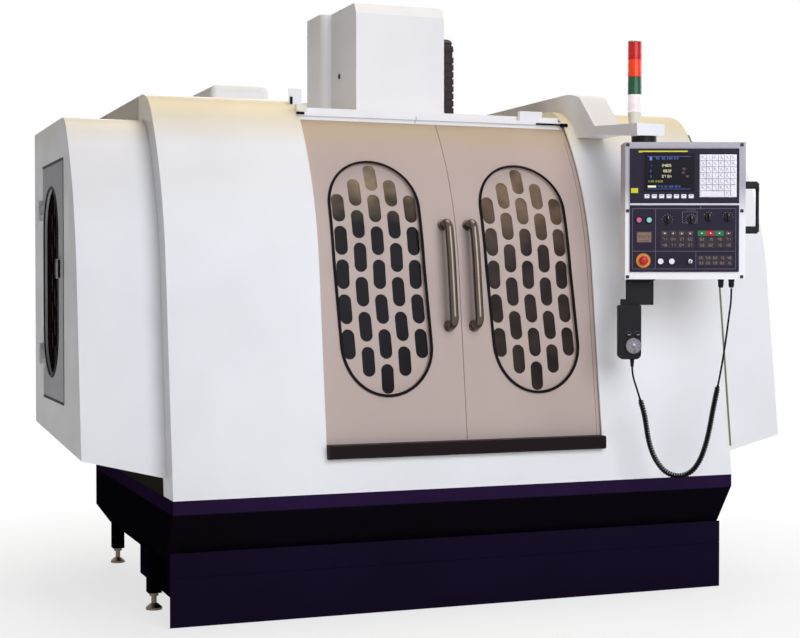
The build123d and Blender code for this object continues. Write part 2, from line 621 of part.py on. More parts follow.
# Cable chain: an upright loop of links with its bend at the top
CHAIN_WIDE = CHAIN_X[1] - CHAIN_X[0]
BEND_Z = CHAIN_TOP - CHAIN_BEND - CHAIN_TALL / 2
with BuildPart() as cable_chain:
    with BuildSketch(Plane.YZ.offset(CHAIN_X[0] + 4)):
        with BuildLine() as chain_line:
            Line((CHAIN_Y - CHAIN_BEND, CHAIN_LOW), (CHAIN_Y - CHAIN_BEND, BEND_Z))
            RadiusArc((CHAIN_Y - CHAIN_BEND, BEND_Z), (CHAIN_Y + CHAIN_BEND, BEND_Z), CHAIN_BEND)
            Line((CHAIN_Y + CHAIN_BEND, BEND_Z), (CHAIN_Y + CHAIN_BEND, CHAIN_LOW))
            offset(amount=CHAIN_TALL / 2 - 3, side=Side.BOTH, closed=True)
        make_face()
    extrude(amount=CHAIN_WIDE - 8)
    link_stand = [(CHAIN_Y + side * CHAIN_BEND, CHAIN_LOW + CHAIN_PITCH / 2 + k * CHAIN_PITCH)
                  for side in (-1, 1) for k in range(int((BEND_Z - CHAIN_LOW) / CHAIN_PITCH))]
    with BuildSketch(Plane.YZ.offset(CHAIN_X[0])):
        with Locations(link_stand):
            Rectangle(CHAIN_TALL, CHAIN_PITCH - 7)
        with Locations((CHAIN_Y, BEND_Z)):
            with PolarLocations(CHAIN_BEND, 5, start_angle=18, angular_range=144, endpoint=True):
                Rectangle(CHAIN_TALL, CHAIN_PITCH - 7)
    extrude(amount=CHAIN_WIDE)
save(cable_chain.part, "cable_chain")


# Low cover of the column's top, behind the head
with BuildPart() as column_cover:
    slab(both_sides(COLUMN_COVER_HALF), (COLUMN_COVER_FRONT, BED_BACK + 30),
         (ROOF_MID, ROOF_MID + COLUMN_COVER_TALL))
    fillet(column_cover.edges().filter_by(Axis.Z), radius=30)
    offset(amount=-THIN_SHEET, openings=column_cover.faces().sort_by(Axis.Z)[0])
save(column_cover.part, "column_cover")


# Front panels: curved cowl sheets with a flank, a return beside the doorway and a foot flange
PANEL_FLANK = 150.0
PANEL_RETURN = 7.5
PANEL_FLANGE = 80.0
with BuildPart() as roof_cheek:
    cowl_solid((-DOORWAY_HALF - THIN_SHEET, -DOORWAY_HALF), 0, TRAY_TOP, ROOF_START)
    slab((-TRAY_HALF, 0), (FRONT, ROOF_START), (ROOF_MID - SHEET, ROOF + 1), mode=Mode.INTERSECT)
with BuildPart() as front_panel_left:
    for x, wide, deep in ((-TRAY_HALF, TRAY_HALF - DOORWAY_HALF, SHEET),
                          (-TRAY_HALF, SHEET, PANEL_FLANK),
                          (-DOORWAY_HALF - THIN_SHEET, THIN_SHEET, PANEL_RETURN)):
        with BuildSketch(Plane.YZ.offset(x)) as panel_side:
            cowl_face(0, TRAY_TOP, ROOF_START)
            cowl_face(deep, TRAY_TOP - 1, ROOF_START + 1, mode=Mode.SUBTRACT)
        extrude(panel_side.sketch, amount=wide)
    add(roof_cheek.part)
    slab((-TRAY_HALF + SHEET / 2, -DOORWAY_HALF), (FRONT + SHEET / 2, FRONT + PANEL_FLANGE),
         (TRAY_TOP, TRAY_TOP + SHEET))
save(front_panel_left.part, "front_panel_left")
save_mirrored(front_panel_left.part, "front_panel_right")


# Apron below the doors and the sill on it
SILL_BACK = FRONT + 75.0
with BuildPart() as front_apron:
    add(cowl_sheet(both_sides(DOORWAY_HALF), 0, SHEET, (TRAY_TOP, SILL_LOW)))
    slab(both_sides(DOORWAY_HALF), (FRONT + SHEET / 2, FRONT + PANEL_FLANGE),
         (TRAY_TOP, TRAY_TOP + SHEET))
    slab(both_sides(DOORWAY_HALF), (lean_y(SILL_LOW) + SHEET / 2, SILL_BACK),
         (SILL_LOW - SHEET, SILL_LOW))
save(front_apron.part, "front_apron")

with BuildPart() as door_sill:
    slab(both_sides(DOORWAY_HALF), (FRONT - SILL_PROUD, SILL_BACK), (SILL_LOW, SILL_TOP))
    chamfer(door_sill.faces().sort_by(Axis.Y)[0].edges().filter_by(Axis.X), length=5)
    offset(amount=-THIN_SHEET, openings=door_sill.faces().sort_by(Axis.Z)[0])
save(door_sill.part, "door_sill")


# Rail above the doors, with the end blocks that stand on it
DOOR_RAIL_TOP = DOOR_TOP + 28.0
DOOR_RAIL_BACK = cowl_y(DOOR_TOP, DOOR_DEPTH) + 41.0
DOOR_RAIL_FRONT = DOOR_RAIL_BACK - 21.0
with BuildPart() as door_rail:
    slab(both_sides(TRAY_HALF - 10), (DOOR_RAIL_FRONT, DOOR_RAIL_BACK),
         (DOOR_TOP + SEAT_GAP, DOOR_RAIL_TOP))
    slab(both_sides(DOORWAY_HALF), (DOOR_RAIL_FRONT - 14, DOOR_RAIL_BACK),
         (DOOR_TOP + SEAT_GAP, DOOR_RAIL_TOP))
    slab(both_sides(DOORWAY_HALF), (DOOR_RAIL_FRONT - 26, DOOR_RAIL_FRONT),
         (DOOR_RAIL_TOP - 13, DOOR_RAIL_TOP))
    slab((-DOORWAY_HALF, -509), (DOOR_RAIL_FRONT - 11, DOOR_RAIL_BACK - SHEET),
         (DOOR_RAIL_TOP, DOOR_RAIL_TOP + 16))
    slab((-DOORWAY_HALF + 1, -512), (DOOR_RAIL_FRONT - 8, DOOR_RAIL_BACK - 10),
         (DOOR_RAIL_TOP, DOOR_RAIL_TOP + 28))
    slab((-576, -527), (DOOR_RAIL_FRONT + 4, DOOR_RAIL_FRONT + 8),
         (DOOR_RAIL_TOP + 28, DOOR_RAIL_TOP + 88))
    slab((363, 459), (DOOR_RAIL_FRONT - 11, DOOR_RAIL_BACK - 10), (DOOR_RAIL_TOP, DOOR_RAIL_TOP + 40))
save(door_rail.part, "door_rail")


# Sliding doors: curved pans with a sunk, slotted window field
DOOR_X = (-DOORWAY_HALF - DOOR_LAP, -DOOR_SEAM / 2)
FIELD_DEPTH = DOOR_DEPTH + WINDOW_SINK
SLOT_LEVELS = {0: (-3, -2, -1, 0, 1, 2, 3), 1: (-2.5, -1.5, -0.5, 0.5, 1.5, 2.5), 2: (-2, -1, 0, 1, 2)}


def door_band(x_span, depth, thick):
    """Part of the door's curved sheet, from the sill to the rail."""
    return cowl_sheet(x_span, depth, thick, (SILL_TOP + SEAT_GAP, DOOR_TOP))


def window_prism(grow):
    """Round-ended window outline, grown by an amount and carried through the door."""
    reach = WINDOW_R + grow
    straight = WINDOW_LONG / 2 - WINDOW_R
    ends = [curve_point(WINDOW_MID + along, DOOR_DEPTH)[1]
            for along in (-straight - reach, -straight, straight, straight + reach)]
    with BuildPart() as prism:
        with BuildSketch(Plane.XZ.offset(-FRONT)):
            with Locations((-WINDOW_X, (ends[1] + ends[2]) / 2)):
                Rectangle(2 * reach, ends[2] - ends[1])
            with Locations((-WINDOW_X, ends[1])):
                Ellipse(reach, ends[1] - ends[0])
            with Locations((-WINDOW_X, ends[2])):
                Ellipse(reach, ends[3] - ends[2])
        extrude(amount=FRONT - CROWN_Y)
    return prism.part


with BuildPart() as window_rim:
    add(door_band(DOOR_X, DOOR_DEPTH, WINDOW_SINK + THIN_SHEET))
    add(window_prism(THIN_SHEET - GASKET_WIDE), mode=Mode.INTERSECT)
    add(window_prism(-GASKET_WIDE), mode=Mode.SUBTRACT)
with BuildPart() as slotted_field:
    add(door_band(DOOR_X, FIELD_DEPTH, THIN_SHEET))
    add(window_prism(THIN_SHEET / 2 - GASKET_WIDE), mode=Mode.INTERSECT)
    slot_planes = [curve_plane(-WINDOW_X + side * column * SLOT_COLUMN,
                               WINDOW_MID + level * SLOT_PITCH, FIELD_DEPTH - THIN_SHEET)
                   for column, levels in SLOT_LEVELS.items() for level in levels
                   for side in ((-1, 1) if column else (1,))]
    with BuildSketch(*slot_planes):
        SlotOverall(SLOT_LONG, SLOT_WIDE, rotation=90)
    extrude(amount=-4 * THIN_SHEET, mode=Mode.SUBTRACT)
with BuildPart() as door_panel_left:
    add(door_band(DOOR_X, DOOR_DEPTH, THIN_SHEET))
    add(window_prism(-GASKET_WIDE), mode=Mode.SUBTRACT)
    add(window_rim.part)
    add(slotted_field.part)
    add(door_band((DOOR_X[0], DOOR_X[0] + THIN_SHEET), DOOR_DEPTH, DOOR_THICK))
    add(door_band((DOOR_X[1] - THIN_SHEET, DOOR_X[1]), DOOR_DEPTH, DOOR_THICK))
    for z, low in ((DOOR_TOP, DOOR_TOP - THIN_SHEET), (SILL_TOP + SEAT_GAP, SILL_TOP + SEAT_GAP)):
        slab(DOOR_X, (cowl_y(z, DOOR_DEPTH + THIN_SHEET / 2), cowl_y(z, DOOR_DEPTH + DOOR_THICK)),
             (low, low + THIN_SHEET))
save(door_panel_left.part, "door_panel_left")
save_mirrored(door_panel_left.part, "door_panel_right")

with BuildPart() as door_glass_left:
    add(door_band(DOOR_X, FIELD_DEPTH + THIN_SHEET + SEAT_GAP, PANE_THICK))
    add(window_prism(GASKET_WIDE), mode=Mode.INTERSECT)
save(door_glass_left.part, "door_glass_left")
save_mirrored(door_glass_left.part, "door_glass_right")

with BuildPart() as door_gasket_left:
    add(door_band(DOOR_X, DOOR_DEPTH - GASKET_PROUD, GASKET_PROUD - SEAT_GAP))
    add(window_prism(0), mode=Mode.INTERSECT)
    add(window_prism(-GASKET_WIDE), mode=Mode.SUBTRACT)
save(door_gasket_left.part, "door_gasket_left")
save_mirrored(door_gasket_left.part, "door_gasket_right")


# Door handles: bent tubes that follow the door's curve
HANDLE_DEPTH = DOOR_DEPTH - HANDLE_PROUD + HANDLE_R
with BuildLine() as handle_line:
    handle_foot = Line(curve_point(HANDLE_LOW, DOOR_DEPTH - SEAT_GAP),
                       curve_point(HANDLE_LOW, HANDLE_DEPTH + HANDLE_BEND))
    low_bend = JernArc(handle_foot @ 1, handle_foot % 1, HANDLE_BEND, -90)
    grip_straight = Line(low_bend @ 1, curve_point(0, HANDLE_DEPTH))
    grip_bow = JernArc(grip_straight @ 1, grip_straight % 1, SHOULDER_R - HANDLE_DEPTH,
                       -degrees((HANDLE_HIGH - HANDLE_BEND) / SHOULDER_R))
    high_bend = JernArc(grip_bow @ 1, grip_bow % 1, HANDLE_BEND, -90)
    Line(high_bend @ 1,
         high_bend @ 1 + (high_bend % 1) * (HANDLE_PROUD - HANDLE_R - HANDLE_BEND - SEAT_GAP))
handle_path = Plane.YZ.offset(-HANDLE_X).from_local_coords(handle_line.wire())
with BuildPart() as door_handle_left:
    with BuildSketch(Plane(origin=handle_path @ 0, z_dir=handle_path % 0)):
        Circle(HANDLE_R)
    sweep(path=handle_path)
save(door_handle_left.part, "door_handle_left")
save_mirrored(door_handle_left.part, "door_handle_right")


# Loose hinges: a pair of lugs with a pin on the fixed side, a knuckle on the moving side
PIN_R = 4.0
PIN_PLAY = 0.05
LUG_R = 7.5
LUG_TALL = 20.0
HINGE_TALL = 80.0
HINGE_OUT = 8.0  # distance of a hinge's pin from the wall that carries it


def hinge_lugs(axis_at, low, x_span, y_span):
    """Two lugs and the pin between them, each lug joined to its wall by a block."""
    for foot in (low, low + HINGE_TALL - LUG_TALL):
        with Locations((*axis_at, foot)):
            Cylinder(LUG_R, LUG_TALL, align=(Align.CENTER, Align.CENTER, Align.MIN))
        slab(x_span, y_span, (foot, foot + LUG_TALL))
    with Locations((*axis_at, low)):
        Cylinder(PIN_R, HINGE_TALL, align=(Align.CENTER, Align.CENTER, Align.MIN))


def hinge_knuckle(axis_at, low, x_span, y_span):
    """Knuckle that turns on the pin, joined to its door by a block."""
    foot = low + LUG_TALL + SEAT_GAP
    tall = HINGE_TALL - 2 * (LUG_TALL + SEAT_GAP)
    slab(x_span, y_span, (foot, foot + tall))
    with Locations((*axis_at, foot)):
        Cylinder(LUG_R, tall, align=(Align.CENTER, Align.CENTER, Align.MIN))
        Cylinder(PIN_R + PIN_PLAY, tall, align=(Align.CENTER, Align.CENTER, Align.MIN),
                 mode=Mode.SUBTRACT)


# Wings: sheet boxes beside the cowl, open to the cabin, their underside sloping two ways
def wing_low(y):
    """Height of the wings' underside beside the tray."""
    return WING_LOW_IN + (y - FRONT) * WING_RISE / (WING_BACK - FRONT)


def wing_block(inset):
    """Outline of the left wing set in from its outer faces, open at the cabin's side."""
    corner = Vector(-TRAY_HALF, FRONT, wing_low(FRONT) + inset)
    along = Vector(0, WING_BACK - FRONT, WING_RISE)
    across = Vector(-WING_WIDE, 0, WING_LOW_OUT - WING_LOW_IN)
    with BuildPart() as block:
        cowl_solid((-WING_HALF + inset, -TRAY_HALF), WING_DEPTH + inset, WING_LOW_IN - 10,
                   WING_BACK - inset)
        split(bisect_by=Plane(origin=corner, z_dir=along.cross(across)), keep=Keep.TOP)
    return block.part


wing_outside = wing_block(0)
wing_inside = wing_block(SHEET)
SIDE_HINGE_AT = (-WING_HALF - HINGE_OUT, SIDE_DOOR_Y[1] + 15)
SIDE_HINGES = (SIDE_DOOR_Z[0] + 120, SIDE_DOOR_Z[1] - 120 - HINGE_TALL)
JAMB_DEEP = SIDE_DOOR_THICK + SEAT_GAP


def side_opening(x_span, grow, mode=Mode.ADD):
    """Block as large as the side door's opening, grown by an amount."""
    slab(x_span, (SIDE_DOOR_Y[0] - SIDE_PLAY - grow, SIDE_DOOR_Y[1] + SIDE_PLAY + grow),
         (SIDE_DOOR_Z[0] - SIDE_PLAY - grow, SIDE_DOOR_Z[1] + SIDE_PLAY + grow), mode=mode)


with BuildPart() as wing_left:
    add(wing_outside)
    add(wing_inside, mode=Mode.SUBTRACT)
    side_opening((-WING_HALF, -WING_HALF + JAMB_DEEP + THIN_SHEET), THIN_SHEET)
    side_opening((-WING_HALF - 1, -WING_HALF + JAMB_DEEP), 0, mode=Mode.SUBTRACT)
    side_opening((-WING_HALF, -WING_HALF + JAMB_DEEP + THIN_SHEET + 1), -SIDE_PLAY - SIDE_LAP,
                 mode=Mode.SUBTRACT)
    for low in SIDE_HINGES:
        hinge_lugs(SIDE_HINGE_AT, low, (SIDE_HINGE_AT[0], -WING_HALF),
                   (SIDE_HINGE_AT[1] - LUG_R, SIDE_HINGE_AT[1] + LUG_R))
save(wing_left.part, "wing_left")

with BuildPart() as wing_right:
    mirror(wing_outside, about=Plane.YZ)
    mirror(wing_inside, about=Plane.YZ, mode=Mode.SUBTRACT)
save(wing_right.part, "wing_right")


# Side door of the left wing, a pan that closes flush, with a sunk, slotted window field
STRAP_LONG = 40.0
SIDE_LEVELS = {0: (-2.5, -1.5, -0.5, 0.5, 1.5, 2.5), 1: (-2, -1, 0, 1, 2), 2: (-1.5, -0.5, 0.5, 1.5)}


def side_window(x_span, grow, mode=Mode.ADD):
    """Round-ended block as large as the side door's window, grown by an amount."""
    with BuildSketch(Plane.YZ.offset(x_span[0])) as window:
        with Locations(SIDE_WINDOW_AT):
            SlotOverall(SIDE_WINDOW_LONG + 2 * grow, SIDE_WINDOW_WIDE + 2 * grow, rotation=90)
    extrude(window.sketch, amount=x_span[1] - x_span[0], mode=mode)


SIDE_FIELD_BACK = -WING_HALF + SIDE_WINDOW_SINK + THIN_SHEET
with BuildPart() as side_door_left:
    slab((-WING_HALF, -WING_HALF + SIDE_DOOR_THICK), SIDE_DOOR_Y, SIDE_DOOR_Z)
    offset(amount=-THIN_SHEET, openings=side_door_left.faces().sort_by(Axis.X)[-1])
    side_window((-WING_HALF, SIDE_FIELD_BACK), THIN_SHEET)
    side_window((-WING_HALF - 1, -WING_HALF + SIDE_WINDOW_SINK), 0, mode=Mode.SUBTRACT)
    with BuildSketch(Plane.YZ.offset(-WING_HALF)) as side_slots:
        with Locations([(SIDE_WINDOW_AT[0] + side * column * SIDE_SLOT_COLUMN,
                         SIDE_WINDOW_AT[1] + level * SIDE_SLOT_PITCH)
                        for column, levels in SIDE_LEVELS.items() for level in levels
                        for side in ((-1, 1) if column else (1,))]):
            SlotOverall(SIDE_SLOT_LONG, SIDE_SLOT_WIDE, rotation=90)
    extrude(side_slots.sketch, amount=SIDE_FIELD_BACK + WING_HALF, mode=Mode.SUBTRACT)
    slab((-WING_HALF - SIDE_LATCH_PROUD, -WING_HALF), *SIDE_LATCH)
    for low in SIDE_HINGES:
        hinge_knuckle(SIDE_HINGE_AT, low, (SIDE_HINGE_AT[0] - LUG_R, -WING_HALF - SEAT_GAP),
                      (SIDE_DOOR_Y[1] - STRAP_LONG, SIDE_HINGE_AT[1]))
        slab((SIDE_HINGE_AT[0], -WING_HALF + THIN_SHEET), (SIDE_DOOR_Y[1] - STRAP_LONG, SIDE_DOOR_Y[1]),
             (low + LUG_TALL + SEAT_GAP, low + HINGE_TALL - LUG_TALL - SEAT_GAP))
save(side_door_left.part, "side_door_left")

with BuildPart() as side_glass_left:
    side_window((SIDE_FIELD_BACK + SEAT_GAP, SIDE_FIELD_BACK + SEAT_GAP + PANE_THICK), 10)
save(side_glass_left.part, "side_glass_left")


# Rear enclosure: side walls, rear wall, stepped roof and the dome over the magazine
COLUMN_ROOM = 5.0
WING_INSIDE_BACK = WING_BACK - SHEET
WING_INSIDE_TOP = ROOF - WING_DEPTH - SHEET
with BuildPart() as rear_enclosure:
    with BuildSketch(Plane.YZ.offset(-TRAY_HALF)) as wall_side:
        cowl_face(PANEL_FLANK, TRAY_TOP, CABIN_BACK)
        with Locations((ROOF_START, TRAY_TOP)):
            Rectangle(CABIN_BACK - ROOF_START, ROOF - TRAY_TOP, align=(Align.MIN, Align.MIN))
        with BuildLine():
            Polyline((FRONT, wing_low(FRONT) + SHEET), (WING_INSIDE_BACK, wing_low(WING_INSIDE_BACK) + SHEET),
                     (WING_INSIDE_BACK, WING_INSIDE_TOP), (FRONT, WING_INSIDE_TOP),
                     (FRONT, wing_low(FRONT) + SHEET))
        make_face(mode=Mode.SUBTRACT)
    extrude(wall_side.sketch, amount=THIN_SHEET)
    slab((-TRAY_HALF, -DOORWAY_HALF), (ROOF_START, CABIN_BACK), (ROOF - SHEET, ROOF))
    slab((-DOORWAY_HALF - THIN_SHEET, -DOORWAY_HALF), (ROOF_START, CABIN_BACK),
         (ROOF_MID - SHEET, ROOF))
    slab((-TRAY_HALF, -DOORWAY_HALF), (CABIN_BACK - THIN_SHEET, CABIN_BACK), (TRAY_TOP, ROOF))
    mirror(about=Plane.YZ)
    slab(both_sides(DOORWAY_HALF), (CABIN_BACK - THIN_SHEET, CABIN_BACK), (TRAY_TOP, ROOF_MID))
    slab(both_sides(DOORWAY_HALF), (DOOR_RAIL_BACK, CABIN_BACK), (ROOF_MID - SHEET, ROOF_MID))
    slab(both_sides(DOORWAY_HALF), (DOOR_RAIL_BACK, DOOR_RAIL_BACK + SHEET),
         (DOOR_TOP + 5, ROOF_MID))
    slab((-HEAD_BACK_HALF - 10, CHAIN_X[1] + 14), (HEAD_COVER_Y[0] - 10, HEAD_BACK_END + 10),
         (ROOF_MID - SHEET - 1, ROOF_MID + 1), mode=Mode.SUBTRACT)
    slab(both_sides(COLUMN_HALF + COLUMN_ROOM), (Z_RAIL_FRONT - COLUMN_ROOM, CABIN_BACK + 1),
         (BED_TOP, ROOF_MID + 1), mode=Mode.SUBTRACT)
    slab(both_sides(BED_HALF + COLUMN_ROOM), (CABIN_BACK - THIN_SHEET - 1, CABIN_BACK + 1),
         (TRAY_TOP - 1, BED_TOP + COLUMN_ROOM), mode=Mode.SUBTRACT)
    with BuildPart(mode=Mode.PRIVATE) as dome:
        slab(DOME_X, DOME_Y, (ROOF, DOME_TOP))
        fillet(dome.edges().filter_by(Axis.Z), radius=25)
        fillet(dome.faces().sort_by(Axis.Z)[-1].edges(), radius=22)
        offset(amount=-THIN_SHEET, openings=dome.faces().sort_by(Axis.Z)[0])
    add(dome.part)
    slab((DOME_X[0] + 10, DOME_X[1] - 10), (DOME_Y[0] + 10, DOME_Y[1] - 10),
         (ROOF - SHEET - 1, ROOF + 1), mode=Mode.SUBTRACT)
save(rear_enclosure.part, "rear_enclosure")


# Electrical cabinet behind the cabin, with its hinged door
CABINET_Y = (CABIN_BACK, CABIN_BACK + CABINET_DEEP - CABINET_DOOR)
CABINET_HINGE_AT = (CABINET_X[1] + HINGE_OUT, CABINET_Y[1] + CABINET_DOOR / 2)
CABINET_HINGES = (CABINET_Z[0] + 120, sum(CABINET_Z) / 2 - HINGE_TALL / 2,
                  CABINET_Z[1] - 120 - HINGE_TALL)
with BuildPart() as electrical_cabinet:
    slab(CABINET_X, CABINET_Y, CABINET_Z)
    offset(amount=-THIN_SHEET, openings=electrical_cabinet.faces().sort_by(Axis.Y)[-1])
    for low in CABINET_HINGES:
        hinge_lugs(CABINET_HINGE_AT, low, (CABINET_X[1], CABINET_HINGE_AT[0] + LUG_R),
                   (CABINET_Y[1] - 25, CABINET_HINGE_AT[1]))
save(electrical_cabinet.part, "electrical_cabinet")

LOUVRES = 9
LATCH_R = 16.0
with BuildPart() as cabinet_door:
    slab(CABINET_X, (CABINET_Y[1], CABINET_Y[1] + CABINET_DOOR), CABINET_Z)
    offset(amount=-THIN_SHEET, openings=cabinet_door.faces().sort_by(Axis.Y)[0])
    with BuildSketch(Plane.XZ.offset(-CABINET_Y[1] - CABINET_DOOR)) as louvres:
        with Locations((sum(CABINET_X) / 2, CABINET_Z[0] + 190)):
            with GridLocations(0, 18, 1, LOUVRES):
                SlotOverall(260, 6)
    extrude(louvres.sketch, amount=THIN_SHEET, mode=Mode.SUBTRACT)
    with BuildSketch(Plane.XZ.offset(-CABINET_Y[1] - CABINET_DOOR)) as latches:
        with Locations([(CABINET_X[0] + 45, z) for z in (CABINET_Z[0] + 200, CABINET_Z[1] - 200)]):
            Circle(LATCH_R)
    extrude(latches.sketch, amount=-4)
    for low in CABINET_HINGES:
        hinge_knuckle(CABINET_HINGE_AT, low, (CABINET_X[1] - THIN_SHEET, CABINET_HINGE_AT[0]),
                      (CABINET_HINGE_AT[1] - LUG_R, CABINET_HINGE_AT[1] + LUG_R))
save(cabinet_door.part, "cabinet_door")


# Overhead arm: a duct on the roof that steps down to a slim beam in front of the cowl
ARM_TIP = FRONT - 168.0
BEAM_LOW = 1734.0
BEAM_TALL = 44.0
BEAM_ROOT = (FRONT + 161.0, ARM_TOP - 147.0)
DUCT_FRONT = (FRONT + 290.0, ARM_TOP - 23.0)
PIVOT_R = 15.0
SWIVEL_Z = (BOX_HIGH[1], BEAM_LOW)
with BuildPart() as pendant_arm:
    with BuildSketch(Plane.YZ.offset(ARM_X[0])) as arm_side:
        with BuildLine() as arm_line:
            Polyline((ARM_TIP, BEAM_LOW + BEAM_TALL), (ARM_TIP, BEAM_LOW),
                     (BEAM_ROOT[0], BEAM_ROOT[1] - 33), (ARM_BACK, BEAM_ROOT[1] - 33),
                     (ARM_BACK, ARM_TOP), (FRONT + 430, ARM_TOP))
            ThreePointArc((FRONT + 430, ARM_TOP), (FRONT + 356, ARM_TOP - 6), DUCT_FRONT)
            Polyline(DUCT_FRONT, BEAM_ROOT, (ARM_TIP, BEAM_LOW + BEAM_TALL))
        make_face()
        cowl_face(-SEAT_GAP, TRAY_TOP, ARM_BACK + 1, mode=Mode.SUBTRACT)
    extrude(arm_side.sketch, amount=ARM_X[1] - ARM_X[0])
    slab((ARM_X[0] + THIN_SHEET, ARM_X[1] - THIN_SHEET), (ROOF_START, ARM_BACK - THIN_SHEET),
         (ROOF, ARM_TOP - THIN_SHEET), mode=Mode.SUBTRACT)
    with Locations((*SWIVEL_AT, BEAM_LOW)):
        Cylinder(SWIVEL_R, BEAM_TALL / 2, align=(Align.CENTER, Align.CENTER, Align.MIN))
        Cylinder(PIVOT_R, 18, align=(Align.CENTER, Align.CENTER, Align.MAX))
save(pendant_arm.part, "pendant_arm")


# Signal tower: a tapered foot and a tube with four lens rings
TOWER_TUBE_R = 9.0
TOWER_NECK_R = 14.0
LENSES = 4
TOWER_TOP = TOWER_FOOT + LENSES * LENS_TALL
with BuildPart() as tower_body:
    with Locations((*TOWER_AT, TOWER_FOOT)):
        Cone(TOWER_NECK_R, TOWER_R, TOWER_FOOT - BEAM_LOW, align=(Align.CENTER, Align.CENTER, Align.MAX))
        Cylinder(TOWER_TUBE_R, LENSES * LENS_TALL, align=(Align.CENTER, Align.CENTER, Align.MIN))
    with Locations((*TOWER_AT, TOWER_TOP)):
        Cylinder(TOWER_R, 4, align=(Align.CENTER, Align.CENTER, Align.MIN))
    add(pendant_arm.part, mode=Mode.SUBTRACT)
    slab((TOWER_AT[0] - TOWER_R, TOWER_AT[0] + TOWER_R), (TOWER_AT[1] - TOWER_R, TOWER_AT[1] + TOWER_R),
         (BEAM_LOW, BEAM_LOW + BEAM_TALL), mode=Mode.SUBTRACT)
save(tower_body.part, "tower_body")

with BuildPart() as tower_lenses:
    with Locations([(*TOWER_AT, TOWER_FOOT + k * LENS_TALL) for k in range(LENSES)]):
        Cylinder(TOWER_R, LENS_TALL - 1, align=(Align.CENTER, Align.CENTER, Align.MIN))
        Cylinder(TOWER_TUBE_R, LENS_TALL - 1, align=(Align.CENTER, Align.CENTER, Align.MIN),
                 mode=Mode.SUBTRACT)
save(tower_lenses.part, "tower_lenses")


# Control box, swivelling under the arm's tip and turned a little to the left
TURN = radians(BOX_TURN)


def box_point(across, out, z):
    """Point given by its distance right of the swivel, its distance out of it and its height."""
    return (SWIVEL_AT[0] + across * cos(TURN) - out * sin(TURN),
            SWIVEL_AT[1] - across * sin(TURN) - out * cos(TURN), z)


def box_plane(out):
    """Plane parallel to the box's face, at a distance out of the swivel's axis."""
    return Plane(origin=box_point(0, out, 0), x_dir=(cos(TURN), -sin(TURN), 0),
                 z_dir=(-sin(TURN), -cos(TURN), 0))


def box_block(across, z_span, out, mode=Mode.ADD, corner=0.0):
    """Block square to the box, with rounded corners on its face if asked."""
    wide = across[1] - across[0]
    tall = z_span[1] - z_span[0]
    with BuildSketch(box_plane(out[0])) as face:
        with Locations(((across[0] + across[1]) / 2, (z_span[0] + z_span[1]) / 2)):
            if corner:
                RectangleRounded(wide, tall, corner)
            else:
                Rectangle(wide, tall)
    extrude(face.sketch, amount=out[1] - out[0], mode=mode)


def box_disc(at, radius, out, mode=Mode.ADD):
    """Disc on the box's face, centred on one or more points."""
    with BuildSketch(box_plane(out[0])) as face:
        with Locations(at):
            Circle(radius)
    extrude(face.sketch, amount=out[1] - out[0], mode=mode)


# Swivel between arm and box, turning on the arm's pivot
with BuildPart() as pendant_swivel:
    with Locations((*SWIVEL_AT, SWIVEL_Z[0])):
        Cylinder(SWIVEL_R, SWIVEL_Z[1] - SWIVEL_Z[0], align=(Align.CENTER, Align.CENTER, Align.MIN))
    with Locations((*SWIVEL_AT, BEAM_LOW)):
        Cylinder(PIVOT_R + PIN_PLAY, 18 + SEAT_GAP, align=(Align.CENTER, Align.CENTER, Align.MAX),
                 mode=Mode.SUBTRACT)
save(pendant_swivel.part, "pendant_swivel")


# Housing: a sheet box with two openings that the plates close
PLATE_LAP = 6.0
with BuildPart() as pendant_housing:
    box_block(BOX_SPAN, BOX_HIGH, (BOX_BACK, BOX_FACE))
    box_block((BOX_SPAN[0] + THIN_SHEET, BOX_SPAN[1] - THIN_SHEET),
              (BOX_HIGH[0] + THIN_SHEET, BOX_HIGH[1] - THIN_SHEET),
              (BOX_BACK + THIN_SHEET, BOX_FACE - THIN_SHEET), mode=Mode.SUBTRACT)
    for z_low, z_high in (DISPLAY_HIGH, OPERATOR_HIGH):
        box_block((PLATE_SPAN[0] + PLATE_LAP, PLATE_SPAN[1] - PLATE_LAP),
                  (z_low + PLATE_LAP, z_high - PLATE_LAP), (BOX_FACE - THIN_SHEET - 1, BOX_FACE + 1),
                  mode=Mode.SUBTRACT)
save(pendant_housing.part, "pendant_housing")


# Display unit: bezel with its soft keys, screen, keypad
PLATE_FRONT = BOX_FACE + PLATE_PROUD
POCKET_DEEP = 4.0
SOFT_KEYS = 7
SOFT_KEY_PITCH = 27.0
SOFT_KEY_Z = 1511.0
with BuildPart() as display_bezel:
    box_block(PLATE_SPAN, DISPLAY_HIGH, (BOX_FACE, PLATE_FRONT))
    box_block((SCREEN_SPAN[0] - SEAT_GAP, SCREEN_SPAN[1] + SEAT_GAP),
              (SCREEN_HIGH[0] - SEAT_GAP, SCREEN_HIGH[1] + SEAT_GAP),
              (PLATE_FRONT - POCKET_DEEP, PLATE_FRONT + 1), mode=Mode.SUBTRACT)
    with BuildSketch(box_plane(PLATE_FRONT)) as soft_keys:
        with Locations((sum(SCREEN_SPAN) / 2, SOFT_KEY_Z)):
            with GridLocations(SOFT_KEY_PITCH, 0, SOFT_KEYS, 1):
                Rectangle(19, 15)
    extrude(soft_keys.sketch, amount=2.5)
save(display_bezel.part, "display_bezel")

with BuildPart() as display_screen:
    box_block(SCREEN_SPAN, SCREEN_HIGH, (PLATE_FRONT - POCKET_DEEP, PLATE_FRONT - 1))
save(display_screen.part, "display_screen")

